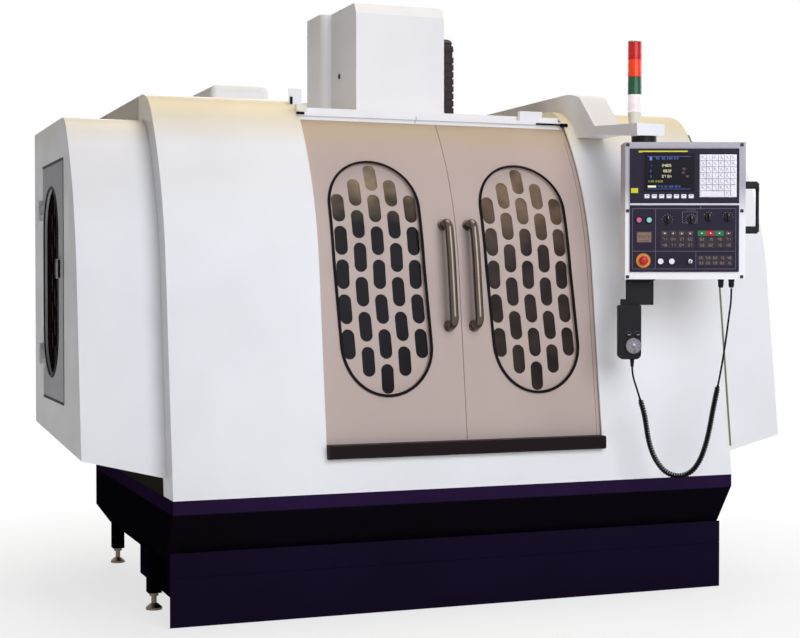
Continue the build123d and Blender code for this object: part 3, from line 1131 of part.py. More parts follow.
KEY_COLUMNS = 6
KEY_ROWS = 7
KEY_MARGIN = 3.0
KEY_GAP = 3.5
KEY_WIDE = (KEYPAD_SPAN[1] - KEYPAD_SPAN[0] - 2 * KEY_MARGIN + KEY_GAP) / KEY_COLUMNS
KEY_TALL = (KEYPAD_HIGH[1] - KEYPAD_HIGH[0] - 2 * KEY_MARGIN + KEY_GAP) / KEY_ROWS
with BuildPart() as display_keys:
    box_block(KEYPAD_SPAN, KEYPAD_HIGH, (PLATE_FRONT, PLATE_FRONT + 2))
    with BuildSketch(box_plane(PLATE_FRONT + 2)) as key_tops:
        with Locations((sum(KEYPAD_SPAN) / 2, sum(KEYPAD_HIGH) / 2)):
            with GridLocations(KEY_WIDE, KEY_TALL, KEY_COLUMNS, KEY_ROWS):
                Rectangle(KEY_WIDE - KEY_GAP, KEY_TALL - KEY_GAP)
    extrude(key_tops.sketch, amount=2.5)
save(display_keys.part, "display_keys")


# Operator panel with the collars and holes of its buttons and switches
COLLAR_TALL = 4.0
COLLAR_WALL = 2.5
BUTTON_PLAY = 0.3
CYCLE_R = 10.5
POWER_R = 9.5
STOP_RING_R = 26.5
STOP_NECK_R = 12.0
KNOB_R = 14.5
KNOB_STEM_R = 5.0
KEY_BARREL_R = 8.5
FILM_KEYS = (((55.0, 168.0), (1322.0, 1386.0), 4, 3), ((190.0, 317.0), (1322.0, 1386.0), 5, 3),
             ((190.0, 317.0), (1258.0, 1294.0), 5, 2))  # span, height, columns and rows of each field
FILM_GAP = 4.0
with BuildPart() as operator_panel:
    box_block(PLATE_SPAN, OPERATOR_HIGH, (BOX_FACE, PLATE_FRONT))
    with BuildSketch(box_plane(PLATE_FRONT)) as film_keys:
        for across, high, columns, rows in FILM_KEYS:
            pitch = ((across[1] - across[0] + FILM_GAP) / columns, (high[1] - high[0] + FILM_GAP) / rows)
            with Locations((sum(across) / 2, sum(high) / 2)):
                with GridLocations(*pitch, columns, rows):
                    Rectangle(pitch[0] - FILM_GAP, pitch[1] - FILM_GAP)
    extrude(film_keys.sketch, amount=1.5)
    for places, radius in ((CYCLE_BUTTONS, CYCLE_R), (POWER_BUTTONS, POWER_R)):
        box_disc(list(places.values()), radius + BUTTON_PLAY + COLLAR_WALL,
                 (PLATE_FRONT, PLATE_FRONT + COLLAR_TALL))
        box_disc(list(places.values()), radius + BUTTON_PLAY,
                 (BOX_FACE - 1, PLATE_FRONT + COLLAR_TALL + 1), mode=Mode.SUBTRACT)
    box_disc([STOP_AT], STOP_RING_R, (PLATE_FRONT, PLATE_FRONT + COLLAR_TALL))
    box_disc([STOP_AT], STOP_NECK_R + BUTTON_PLAY, (BOX_FACE - 1, PLATE_FRONT + COLLAR_TALL + 1),
             mode=Mode.SUBTRACT)
    box_disc([KEY_AT], KEY_BARREL_R + COLLAR_WALL, (PLATE_FRONT, PLATE_FRONT + COLLAR_TALL))
    box_disc([KEY_AT], KEY_BARREL_R + PIN_PLAY, (BOX_FACE - 1, PLATE_FRONT + COLLAR_TALL + 1),
             mode=Mode.SUBTRACT)
    box_disc(list(SELECTORS.values()), KNOB_STEM_R + PIN_PLAY, (BOX_FACE - 1, PLATE_FRONT + 1),
             mode=Mode.SUBTRACT)
save(operator_panel.part, "operator_panel")


# Push buttons: plungers held by a flange behind the plate
BUTTON_STROKE = 3.0
for places, radius in ((CYCLE_BUTTONS, CYCLE_R), (POWER_BUTTONS, POWER_R)):
    for name, at in places.items():
        with BuildPart() as button:
            box_disc([at], radius, (BOX_FACE - 4, PLATE_FRONT + COLLAR_TALL + BUTTON_STROKE))
            fillet(button.faces().sort_by(Axis((0, 0, 0), box_plane(0).z_dir))[-1].edges(), radius=1)
            box_disc([at], radius + 2, (BOX_FACE - 4, BOX_FACE))
        save(button.part, name)

# Emergency stop: a mushroom on a neck
STOP_R = 19.0
STOP_STROKE = 6.0
STOP_HEAD = PLATE_FRONT + COLLAR_TALL + STOP_STROKE + 1
with BuildPart() as emergency_stop:
    box_disc([STOP_AT], STOP_NECK_R, (BOX_FACE, STOP_HEAD))
    box_disc([STOP_AT], STOP_R, (STOP_HEAD, STOP_HEAD + 11))
    fillet(emergency_stop.faces().sort_by(Axis((0, 0, 0), box_plane(0).z_dir))[-1].edges(), radius=6)
    box_disc([STOP_AT], STOP_NECK_R + 2, (BOX_FACE - 4, BOX_FACE))
save(emergency_stop.part, "emergency_stop")

# Key switch and selector knobs, each held behind the plate
with BuildPart() as key_switch:
    box_disc([KEY_AT], KEY_BARREL_R, (BOX_FACE - 4, PLATE_FRONT + COLLAR_TALL + 1))
    box_disc([KEY_AT], KEY_BARREL_R + 2, (BOX_FACE - 4, BOX_FACE))
    box_block((KEY_AT[0] - 1.5, KEY_AT[0] + 1.5), (KEY_AT[1] - 6, KEY_AT[1] + 6),
              (PLATE_FRONT + COLLAR_TALL + 1, PLATE_FRONT + COLLAR_TALL + 23))
save(key_switch.part, "key_switch")

KNOB_BASE = 7.0
KNOB_TALL = 18.0
for name, at in SELECTORS.items():
    with BuildPart() as knob:
        box_disc([at], KNOB_STEM_R, (BOX_FACE - 4, PLATE_FRONT + SEAT_GAP))
        box_disc([at], KNOB_STEM_R + 3, (BOX_FACE - 4, BOX_FACE))
        box_disc([at], KNOB_R, (PLATE_FRONT + SEAT_GAP, PLATE_FRONT + KNOB_BASE))
        box_block((at[0] - 3.5, at[0] + 3.5), (at[1] - KNOB_R + 1.5, at[1] + KNOB_R - 1.5),
                  (PLATE_FRONT + KNOB_BASE, PLATE_FRONT + KNOB_TALL))
    save(knob.part, name)


# Cable glands under the box
GLAND_TALL = 31.0
GLAND_R = 10.0
GLAND_ACROSS = (285.0, 324.0)
with BuildPart() as cable_glands:
    for across in GLAND_ACROSS:
        with Locations(box_point(across, CORD_PLANE, BOX_HIGH[0])):
            Cylinder(GLAND_R, 12, align=(Align.CENTER, Align.CENTER, Align.MAX))
            Cylinder(GLAND_R - 2, GLAND_TALL, align=(Align.CENTER, Align.CENTER, Align.MAX))
save(cable_glands.part, "cable_glands")

# Grab handle on the right flank of the box
GRIP_OUT = (BOX_FACE + BOX_BACK) / 2
GRIP_BEND = 16.0
with BuildLine() as grip_line:
    FilletPolyline((BOX_SPAN[1], GRIP_HIGH[1] - GRIP_R),
                   (BOX_SPAN[1] + GRIP_PROUD - GRIP_R, GRIP_HIGH[1] - GRIP_R),
                   (BOX_SPAN[1] + GRIP_PROUD - GRIP_R, GRIP_HIGH[0] + GRIP_R),
                   (BOX_SPAN[1], GRIP_HIGH[0] + GRIP_R), radius=GRIP_BEND)
grip_path = box_plane(GRIP_OUT).from_local_coords(grip_line.wire())
with BuildPart() as grab_handle:
    with BuildSketch(Plane(origin=grip_path @ 0, z_dir=grip_path % 0)):
        Circle(GRIP_R)
    sweep(path=grip_path)
save(grab_handle.part, "grab_handle")

# Holder of the handwheel unit: a bent bracket with a tongue
HOLDER_SHEET = 4.0
TONGUE = (-84.0, -28.0)
with BuildPart() as mpg_holder:
    box_block(HOLDER_SPAN, (MPG_HIGH[1], BOX_HIGH[0]), (MPG_BACK - HOLDER_SHEET, MPG_BACK))
    box_block(TONGUE, (MPG_HIGH[0] + 60, MPG_HIGH[1] + 22), (MPG_BACK - HOLDER_SHEET, MPG_BACK))
    box_block(HOLDER_SPAN, (BOX_HIGH[0] - HOLDER_SHEET, BOX_HIGH[0]), (MPG_BACK - HOLDER_SHEET, 30))
save(mpg_holder.part, "mpg_holder")

# Handwheel unit with two small selectors, its strain relief and its dial
MPG_FRONT = MPG_BACK + MPG_DEEP
RELIEF_TALL = MPG_HIGH[0] - CORD_DOWN[0][1]
DIAL_STUB_R = 6.0
with BuildPart() as mpg_body:
    with BuildSketch(box_plane(MPG_BACK)) as mpg_face:
        with Locations((sum(MPG_SPAN) / 2, sum(MPG_HIGH) / 2)):
            Rectangle(MPG_SPAN[1] - MPG_SPAN[0], MPG_HIGH[1] - MPG_HIGH[0])
        fillet(mpg_face.vertices().group_by(Axis.Y)[0], radius=20)
        fillet(mpg_face.vertices().group_by(Axis.Y)[-1], radius=6)
    extrude(amount=MPG_DEEP)
    fillet(mpg_body.faces().sort_by(Axis((0, 0, 0), box_plane(0).z_dir))[-1].edges(), radius=4)
    box_disc([(DIAL_AT[0] - 17, DIAL_AT[1] + 41), (DIAL_AT[0] + 16, DIAL_AT[1] + 41)], 7,
             (MPG_FRONT - 1, MPG_FRONT + 9))
    box_disc([DIAL_AT], DIAL_STUB_R + PIN_PLAY, (MPG_FRONT - 14, MPG_FRONT + 1), mode=Mode.SUBTRACT)
    with Locations(box_point(CORD_DOWN[0][0], CORD_PLANE, MPG_HIGH[0] + 1)):
        Cone(5.5, 8, RELIEF_TALL + 1, align=(Align.CENTER, Align.CENTER, Align.MAX))
save(mpg_body.part, "mpg_body")

with BuildPart() as mpg_dial:
    box_disc([DIAL_AT], DIAL_STUB_R, (MPG_FRONT - 13, MPG_FRONT + SEAT_GAP))
    box_disc([DIAL_AT], DIAL_R, (MPG_FRONT + SEAT_GAP, MPG_FRONT + 11))
    chamfer(mpg_dial.faces().sort_by(Axis((0, 0, 0), box_plane(0).z_dir))[-1].edges(), length=2)
    box_disc([(DIAL_AT[0] + 8, DIAL_AT[1] - 18)], 4.5, (MPG_FRONT + 11, MPG_FRONT + 26))
save(mpg_dial.part, "mpg_dial")


# Cord of the handwheel unit: two straight-running leads and the curly stretch between them
def bend_radii(points):
    """Radius of the bend at each inner point: as wide as its shorter run allows."""
    radii = []
    for before, here, after in zip(points, points[1:], points[2:]):
        run_in = Vector(*here) - Vector(*before)
        run_out = Vector(*after) - Vector(*here)
        half_turn = radians(run_in.get_angle(run_out) / 2)
        radii.append(0.45 * min(run_in.length, run_out.length) / tan(half_turn))
    return radii


for name, points, radius in (("cord_lower_lead", CORD_DOWN, CORD_R), ("cord_coil", CORD_CURL, COIL_R),
                             ("cord_upper_lead", CORD_UP, CORD_R)):
    print(name, "bend radii", [round(bend, 1) for bend in bend_radii(points)])
    with BuildLine() as cord_line:
        FilletPolyline(*points, radius=bend_radii(points))
    cord_path = box_plane(CORD_PLANE).from_local_coords(cord_line.wire())
    with BuildPart() as cord:
        with BuildSketch(Plane(origin=cord_path @ 0, z_dir=cord_path % 0)):
            Circle(radius)
        sweep(path=cord_path)
    print(name, "section times length", round(pi * radius ** 2 * cord_path.length),
          "volume", round(cord.part.volume))
    save(cord.part, name)
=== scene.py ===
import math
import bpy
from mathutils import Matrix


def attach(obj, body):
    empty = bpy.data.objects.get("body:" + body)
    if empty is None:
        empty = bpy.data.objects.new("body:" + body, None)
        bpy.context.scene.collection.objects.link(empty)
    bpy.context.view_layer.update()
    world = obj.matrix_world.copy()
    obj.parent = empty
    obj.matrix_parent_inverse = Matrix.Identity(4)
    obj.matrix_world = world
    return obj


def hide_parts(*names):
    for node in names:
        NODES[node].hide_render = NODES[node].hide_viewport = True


bl_info = {
    "name": "CNC Machining Center",
    "version": (1, 0, 0),
    "blender": (4, 5, 0),
    "location": "View3D > Sidebar > Machining Center",
    "description": "Finishes and small pieces of an enclosed vertical machining center",
    "category": "Add Mesh",
}

import bmesh
import bpy
from bpy.props import FloatProperty, FloatVectorProperty, IntProperty, PointerProperty
from mathutils import Matrix, Vector

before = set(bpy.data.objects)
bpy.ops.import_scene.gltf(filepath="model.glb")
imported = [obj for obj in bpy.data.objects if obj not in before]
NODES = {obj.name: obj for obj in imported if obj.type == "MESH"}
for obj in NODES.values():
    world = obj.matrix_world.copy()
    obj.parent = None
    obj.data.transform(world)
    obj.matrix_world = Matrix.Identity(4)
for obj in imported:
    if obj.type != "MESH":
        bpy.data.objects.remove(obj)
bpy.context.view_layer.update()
MM = 0.001

# Sizes and places are in millimetres, as in the part's source.
FRONT = -785.0  # front plane of the splash tray: Y is counted from it
CAMERA = (-2.269, -6.027, 1.177)  # in metres: it stands to the left of the front
CAMERA_TURN = -20.8  # degrees about the vertical: it looks to the right
CAMERA_DIP = 1.15  # degrees down

# The control box turns about the arm's swivel: its pieces are placed by the distance
# right of the swivel, the distance out of it and the height.
SWIVEL = Vector((0.641, -0.905, 0.0))  # in metres
BOX_TURN = math.radians(20.8)  # toward the camera
BOX_RIGHT = Vector((math.cos(BOX_TURN), -math.sin(BOX_TURN), 0.0))
BOX_OUT = Vector((-math.sin(BOX_TURN), -math.cos(BOX_TURN), 0.0))
BOX_FACE = 45.0
GRIP_OUT = -15  # middle of the grab handle, out of the swivel
PLATE_FRONT = 51.0
SCREEN_FRONT = 50.0
LATCH_COLUMNS = (-66, 353)
LATCH_ROWS = (1700, 1458, 1216)

# Operator panel and display unit: places right of the swivel and up
STOP = (-9.3, 1275.5)
LOCK = (163, 1272.6)
BUTTONS = (((53.8, 1272.6), 10.8), ((94.7, 1272.6), 10.8), ((11.5, 1424), 9.8),
           ((-25.7, 1424), 9.8), (LOCK, 8.7))  # with the radius inside their rings
KNOBS = {"mode_selector": (80.0, 1426.0), "feed_selector": (166.0, 1426.0),
         "rapid_selector": (231.5, 1435.0), "spindle_selector": (301.0, 1435.0)}
KNOB_SCALES = {"mode_selector": (9, 240), "feed_selector": (13, 270),
               "rapid_selector": (5, 120), "spindle_selector": (7, 180)}  # marks, degrees
FILM_KEYS = (((53.0, 177.0), (1321.0, 1387.0), 4, 3), ((189.0, 318.0), (1321.0, 1387.0), 4, 3),
             ((189.0, 318.0), (1257.0, 1295.0), 5, 2))  # span, height, columns and rows of each field
PANEL_LINES = (  # left, right, low and high
    (-49, 330, 1466, 1466), (-49, 330, 1245, 1245), (-49, -49, 1245, 1466), (330, 330, 1245, 1466),
    (35.6, 35.6, 1245, 1466), (-49, 330, 1310, 1310), (184, 184, 1245, 1310), (134, 188, 1454, 1454),
    (134, 188, 1414, 1414), (134, 134, 1414, 1454), (188, 188, 1414, 1454), (150, 183, 1461, 1461))
DISPLAY_MIDDLE = 84.5

# Small pieces on the plates: right, up, out, size, bevel and material of each block
PLATE_BLOCKS = {
    "display_strips": ("yellow film", ((63, 1674.5, 0.4, (180, 7, 0.8), 0.3, 0),
                                       (-42, 1532, 0.6, (26, 18, 1.2), 0.5, 0))),
    "display_frame": (["dark purple polyester film", "black nylon"], (
        (-38.5, 1587, 0.4, (17, 66, 0.8), 0.4, 0), (-38.5, 1587, 0.9, (8, 58, 0.8), 0.3, 1),
        (-12, 1598.5, 0.8, (4, 147, 1.6), 0.7, 0), (181, 1598.5, 0.8, (4, 147, 1.6), 0.7, 0),
        (DISPLAY_MIDDLE, 1526, 0.8, (197, 4, 1.6), 0.7, 0),
        (DISPLAY_MIDDLE, 1671, 0.8, (197, 4, 1.6), 0.7, 0))),
}
COUNTER = (-6.5, 1361)

# Soft keys under the display and keypad beside it
SOFT_KEYS = 7
SOFT_KEY_PITCH = 27
KEYPAD = (264.5, 1586)
KEY_COLUMNS = 6
KEY_ROWS = 7
KEY_GAP = 3.5
KEY_PITCH_U = (135 - 6 + KEY_GAP) / KEY_COLUMNS
KEY_PITCH_Z = (156 - 6 + KEY_GAP) / KEY_ROWS

# Handwheel unit, hung under the box
MPG_FRONT = 32.0
MPG_MIDDLE = -42

# Route of the handwheel's cord, right of the swivel and up
CORD_PLANE = 6.0
CORD_DOWN = [(-42.0, 884.0), (-41.0, 858.0), (-33.5, 829.0), (-23.5, 799.5), (-14.0, 768.0)]
CORD_CURL = [
    (-14.0, 768.0), (3.4, 715.8), (12.0, 655.0), (22.0, 598.0), (43.0, 541.0), (80.0, 492.0),
    (130.0, 474.0), (178.0, 490.0), (211.0, 535.0), (232.0, 594.0), (246.0, 656.0),
    (257.0, 720.0), (268.0, 775.0), (276.4, 817.0),
]
CORD_UP = [
    (276.4, 817.0), (286.0, 866.0), (295.0, 919.0), (303.0, 972.0),
    (310.0, 1025.0), (316.5, 1077.0), (324.0, 1130.0), (324.0, 1176.0),
]
CURL_STEPS = 12  # points to a turn
CURL_SWELL = 0.016  # metres over which the curl widens from the straight lead

# Curve of the doors and front panels
TRAY_TOP = 451.0
TRAY_HALF = 1100.0
WAIST_Z = 1250.0
SHOULDER_R = 1134.0
LEAN = math.radians(7.5)

# Sliding doors: their windows' place and half width, and how far their straight sides reach
DOOR_DEPTH = 14.0  # of their outer face, behind the front panels'
WINDOW_X = 298.0
WINDOW_MID = -22.0
WINDOW_R = 187.0
WINDOW_STRAIGHT = 253.0
DOOR_JOINT = 532.0  # fold line along the right door's outer edge
HANDLE_X = 50
HANDLE_ENDS = (-215, 165)  # along the curve from the waist

# How far the windows are drawn out: slots, and gasket round them
SLOTS_WIDER = 1.045
SLOTS_LONGER = 1.043
GASKET_WIDER = 0.952
GASKET_LONGER = 1.018
SLOTS_ASIDE = -11  # the upper half of the window stands this much to the left
FOOT_ASIDE = 14  # and its foot that much back to the right
GASKET_ASIDE = -4

# Signal tower
TOWER_AXIS = (641, -49)
TOWER_FOOT = 1830.0
TUBE_R = 9.2
LENSES = 4
LENS_TALL = 65.5

# Side door of the left wing and its window
SIDE_FACE = -1390
SIDE_WINDOW = (785, 1197)  # Y and Z of its middle
SIDE_WINDOW_R = 170
SIDE_WINDOW_STRAIGHT = 180

# Back of the machine, and the field of louvres in the cabinet's door
BACK_WALL = 1500
CABINET_BACK = 1845
LOUVRES = 9
LOUVRE_X = 650
LOUVRE_Z = 790
LOUVRE_PITCH = 18
LOUVRE_HALF = 134

# Lamps: place, what they aim at, size, share of the key light's strength and colour
LAMPS = {
    "key": ((0.45, -5.9, 3.6), (0.0, -0.6, 1.0), 4.6, 1.0, "#F5F8FF"),
    "top": ((0.3, 0.4, 6.0), (0.0, 0.0, 1.5), 4.0, 0.55, "#FFEBCB"),
    "back": ((1.5, 6.5, 3.4), (0.0, 0.6, 1.0), 4.0, 0.55, "#F5F8FF"),
    "right": ((6.5, 0.8, 3.4), (0.8, 0.2, 1.0), 4.0, 0.4, "#F5F8FF"),
}


def spot(x, y, z):
    """Point in metres from millimetres, with Y counted from the tray's front plane."""
    return Vector((x, y + FRONT, z)) * MM


def box_point(across, out, height):
    """Point on the control box in metres: right of the swivel, out of it and up."""
    return SWIVEL + BOX_RIGHT * across * MM + BOX_OUT * out * MM + Vector((0, 0, height * MM))


def box_matrix(across, out, height):
    """Matrix whose X runs right along the box's face, Y up it and Z out of it."""
    turn = Matrix((BOX_RIGHT, Vector((0, 0, 1)), BOX_OUT)).transposed().to_4x4()
    return Matrix.Translation(box_point(across, out, height)) @ turn


def on_plate(across, height, out=0.0):
    """Matrix on the box's two plates or in front of them, turned as box_matrix."""
    return box_matrix(across, PLATE_FRONT + out, height)


def round_dial(place, turn, reach, out=0.0):
    """Matrix at a reach from a dial's middle and out of it, turned clockwise from its top."""
    return place @ Matrix.Rotation(-turn, 4, "Z") @ Matrix.Translation((0, reach * MM, out * MM))


def facing(x, y, z, normal):
    """Matrix at a point in millimetres whose Z runs along a normal and whose Y runs up."""
    out = Vector(normal).normalized()
    right = Vector((0, 0, 1)).cross(out).normalized()
    turn = Matrix((right, out.cross(right), out)).transposed().to_4x4()
    return Matrix.Translation(spot(x, y, z)) @ turn


def linear(code):
    """Linear colour of an sRGB hex value."""
    parts = [int(code[i:i + 2], 16) / 255 for i in (1, 3, 5)]
    return [c / 12.92 if c <= 0.04045 else ((c + 0.055) / 1.055) ** 2.4 for c in parts] + [1.0]


def add_node(tree, kind, inputs=None, **settings):
    """Adds a node, sets its settings and fills or links its inputs."""
    node = tree.nodes.new(kind)
    for key, value in settings.items():
        setattr(node, key, value)
    for key, value in (inputs or {}).items():
        if isinstance(value, bpy.types.NodeSocket):
            tree.links.new(value, node.inputs[key])
        else:
            node.inputs[key].default_value = value
    return node


def blank_material(name, **constants):
    """New node material with its shader's constants set, and the object's coordinates."""
    material = bpy.data.materials.new(name)
    material.use_nodes = True
    tree = material.node_tree
    shader = tree.nodes["Principled BSDF"]
    for key, value in constants.items():
        shader.inputs[key.replace("_", " ")].default_value = value
    coords = add_node(tree, "ShaderNodeTexCoord").outputs["Object"]
    return material, tree, shader, coords


def tone(tree, coords, size, low, high):
    """Soft cloud between two values, with patches of a size in millimetres."""
    cloud = add_node(tree, "ShaderNodeTexNoise", {"Vector": coords, "Scale": 1 / (size * MM),
                                                 "Detail": 2.0})
    spread = add_node(tree, "ShaderNodeMapRange", {"Value": cloud.outputs["Fac"], "From Min": 0.3,
                                                  "From Max": 0.7, "To Min": low, "To Max": high})
    return spread.outputs["Result"]


def mottled(tree, coords, colour, size, low, high):
    """Colour, as a value or a socket, made brighter and darker in soft patches, in millimetres."""
    hue = add_node(tree, "ShaderNodeHueSaturation", {"Color": colour,
                                                    "Value": tone(tree, coords, size, low, high)})
    return hue.outputs["Color"]


def patched(tree, coords, colour, patch):
    """Colour with a patch: an axis, an edge on it, the colour below the edge and half its softness.
    Without a patch it is the colour itself."""
    if not patch:
        return colour
    axis, edge, low_colour, soft = patch
    parts = add_node(tree, "ShaderNodeSeparateXYZ", {"Vector": coords})
    share = add_node(tree, "ShaderNodeMapRange", {"Value": parts.outputs[axis],
                                                 "From Min": (edge - soft) * MM,
                                                 "From Max": (edge + soft) * MM})
    mix = add_node(tree, "ShaderNodeMix", {"Factor": share.outputs["Result"], "A": low_colour,
                                          "B": colour}, data_type="RGBA")
    return mix.outputs["Result"]


def rough_skin(tree, shader, coords, size, strength, depth, detail=2.0):
    """Bump from a fine noise, its grain in millimetres, into the shader's normal."""
    skin = add_node(tree, "ShaderNodeTexNoise", {"Vector": coords, "Scale": 1 / (size * MM),
                                                "Detail": detail})
    bump = add_node(tree, "ShaderNodeBump", {"Height": skin.outputs["Fac"], "Strength": strength,
                                            "Distance": depth})
    tree.links.new(bump.outputs["Normal"], shader.inputs["Normal"])


def powder_coat(name, colour, rough=0.38, gloss=0.3, dirt=0.05, patch=None):
    """Powder-coated sheet steel: satin gloss over a faint orange peel, cloudy where it was wiped."""
    material, tree, shader, coords = blank_material(name, IOR=1.5, Specular_IOR_Level=gloss)
    colour = patched(tree, coords, colour, patch)
    tree.links.new(mottled(tree, coords, colour, 420, 1 - dirt, 1 + dirt / 3), shader.inputs["Base Color"])
    tree.links.new(tone(tree, coords, 130, rough - 0.05, rough + 0.06), shader.inputs["Roughness"])
    # Real peel is about 2 mm across: it is drawn coarser so that it shows in highlights.
    rough_skin(tree, shader, coords, 9, 0.06, 0.0006)
    return material


def machine_enamel(name, colour):
    """Thick enamel on cast iron: the sand-cast skin shows through as a soft unevenness."""
    material, tree, shader, coords = blank_material(name, Roughness=0.45)
    tree.links.new(mottled(tree, coords, colour, 160, 0.88, 1.05), shader.inputs["Base Color"])
    rough_skin(tree, shader, coords, 7, 0.25, 0.001, detail=4.0)
    return material


def ground_steel(name, colour, rough=0.3, stretch=(1, 30, 30), pitch=4.0):
    """Ground, turned or plated metal: fine marks along one way, brighter and duller in turn."""
    material, tree, shader, coords = blank_material(name, Metallic=1.0)
    lay = add_node(tree, "ShaderNodeMapping", {"Vector": coords, "Scale": stretch})
    marks = add_node(tree, "ShaderNodeTexNoise", {"Vector": lay.outputs["Vector"],
                                                 "Scale": 1 / (pitch * MM) / max(stretch),
                                                 "Detail": 3.0})
    spread = add_node(tree, "ShaderNodeMapRange", {"Value": marks.outputs["Fac"],
                                                  "To Min": rough - 0.1, "To Max": rough + 0.12})
    tree.links.new(spread.outputs["Result"], shader.inputs["Roughness"])
    tree.links.new(mottled(tree, coords, colour, 60, 0.92, 1.05), shader.inputs["Base Color"])
    return material


def moulded_plastic(name, colour, rough=0.45, gloss=0.5):
    """Injection-moulded plastic or rubber with a fine spark-eroded grain."""
    material, tree, shader, coords = blank_material(name, IOR=1.5, Roughness=rough,
                                                    Specular_IOR_Level=gloss)
    tree.links.new(mottled(tree, coords, colour, 40, 0.94, 1.04), shader.inputs["Base Color"])
    # Real grain is about 0.2 mm: it is drawn coarser so that it shows.
    rough_skin(tree, shader, coords, 3.0, 0.2, 0.0003)
    return material


def smoked_pane(name, colour, clear=0.12, patch=None):
    """Smoked polycarbonate sheet: it lets a little light through. Strong patches in its colour are a painted
    reflection of the inside, and the patch paints it lighter at the top."""
    material, tree, shader, coords = blank_material(
        name, IOR=1.5, Roughness=0.2, Specular_IOR_Level=0.03, Transmission_Weight=clear)
    colour = patched(tree, coords, colour, patch)
    # Painted reflection: the wide spread of the patches.
    tree.links.new(mottled(tree, coords, colour, 95, 0.55, 1.5), shader.inputs["Base Color"])
    return material


def lit_lens(name, colour, glow=0.25, clear=0.25):
    """Dyed acrylic of a signal lamp or lit glyph: it passes some light and glows by itself."""
    material, tree, shader, coords = blank_material(
        name, IOR=1.49, Roughness=0.25, Specular_IOR_Level=0.3, Transmission_Weight=clear,
        Emission_Strength=glow)
    hue = mottled(tree, coords, colour, 30, 0.9, 1.05)
    tree.links.new(hue, shader.inputs["Base Color"])
    tree.links.new(hue, shader.inputs["Emission Color"])
    return material


def look(code, *nodes, **options):
    """Row of the table below: a colour, the nodes that carry it and the settings of its maker.
    A colour that starts with @ is the name of a colour in the finish settings."""
    return code, nodes, options


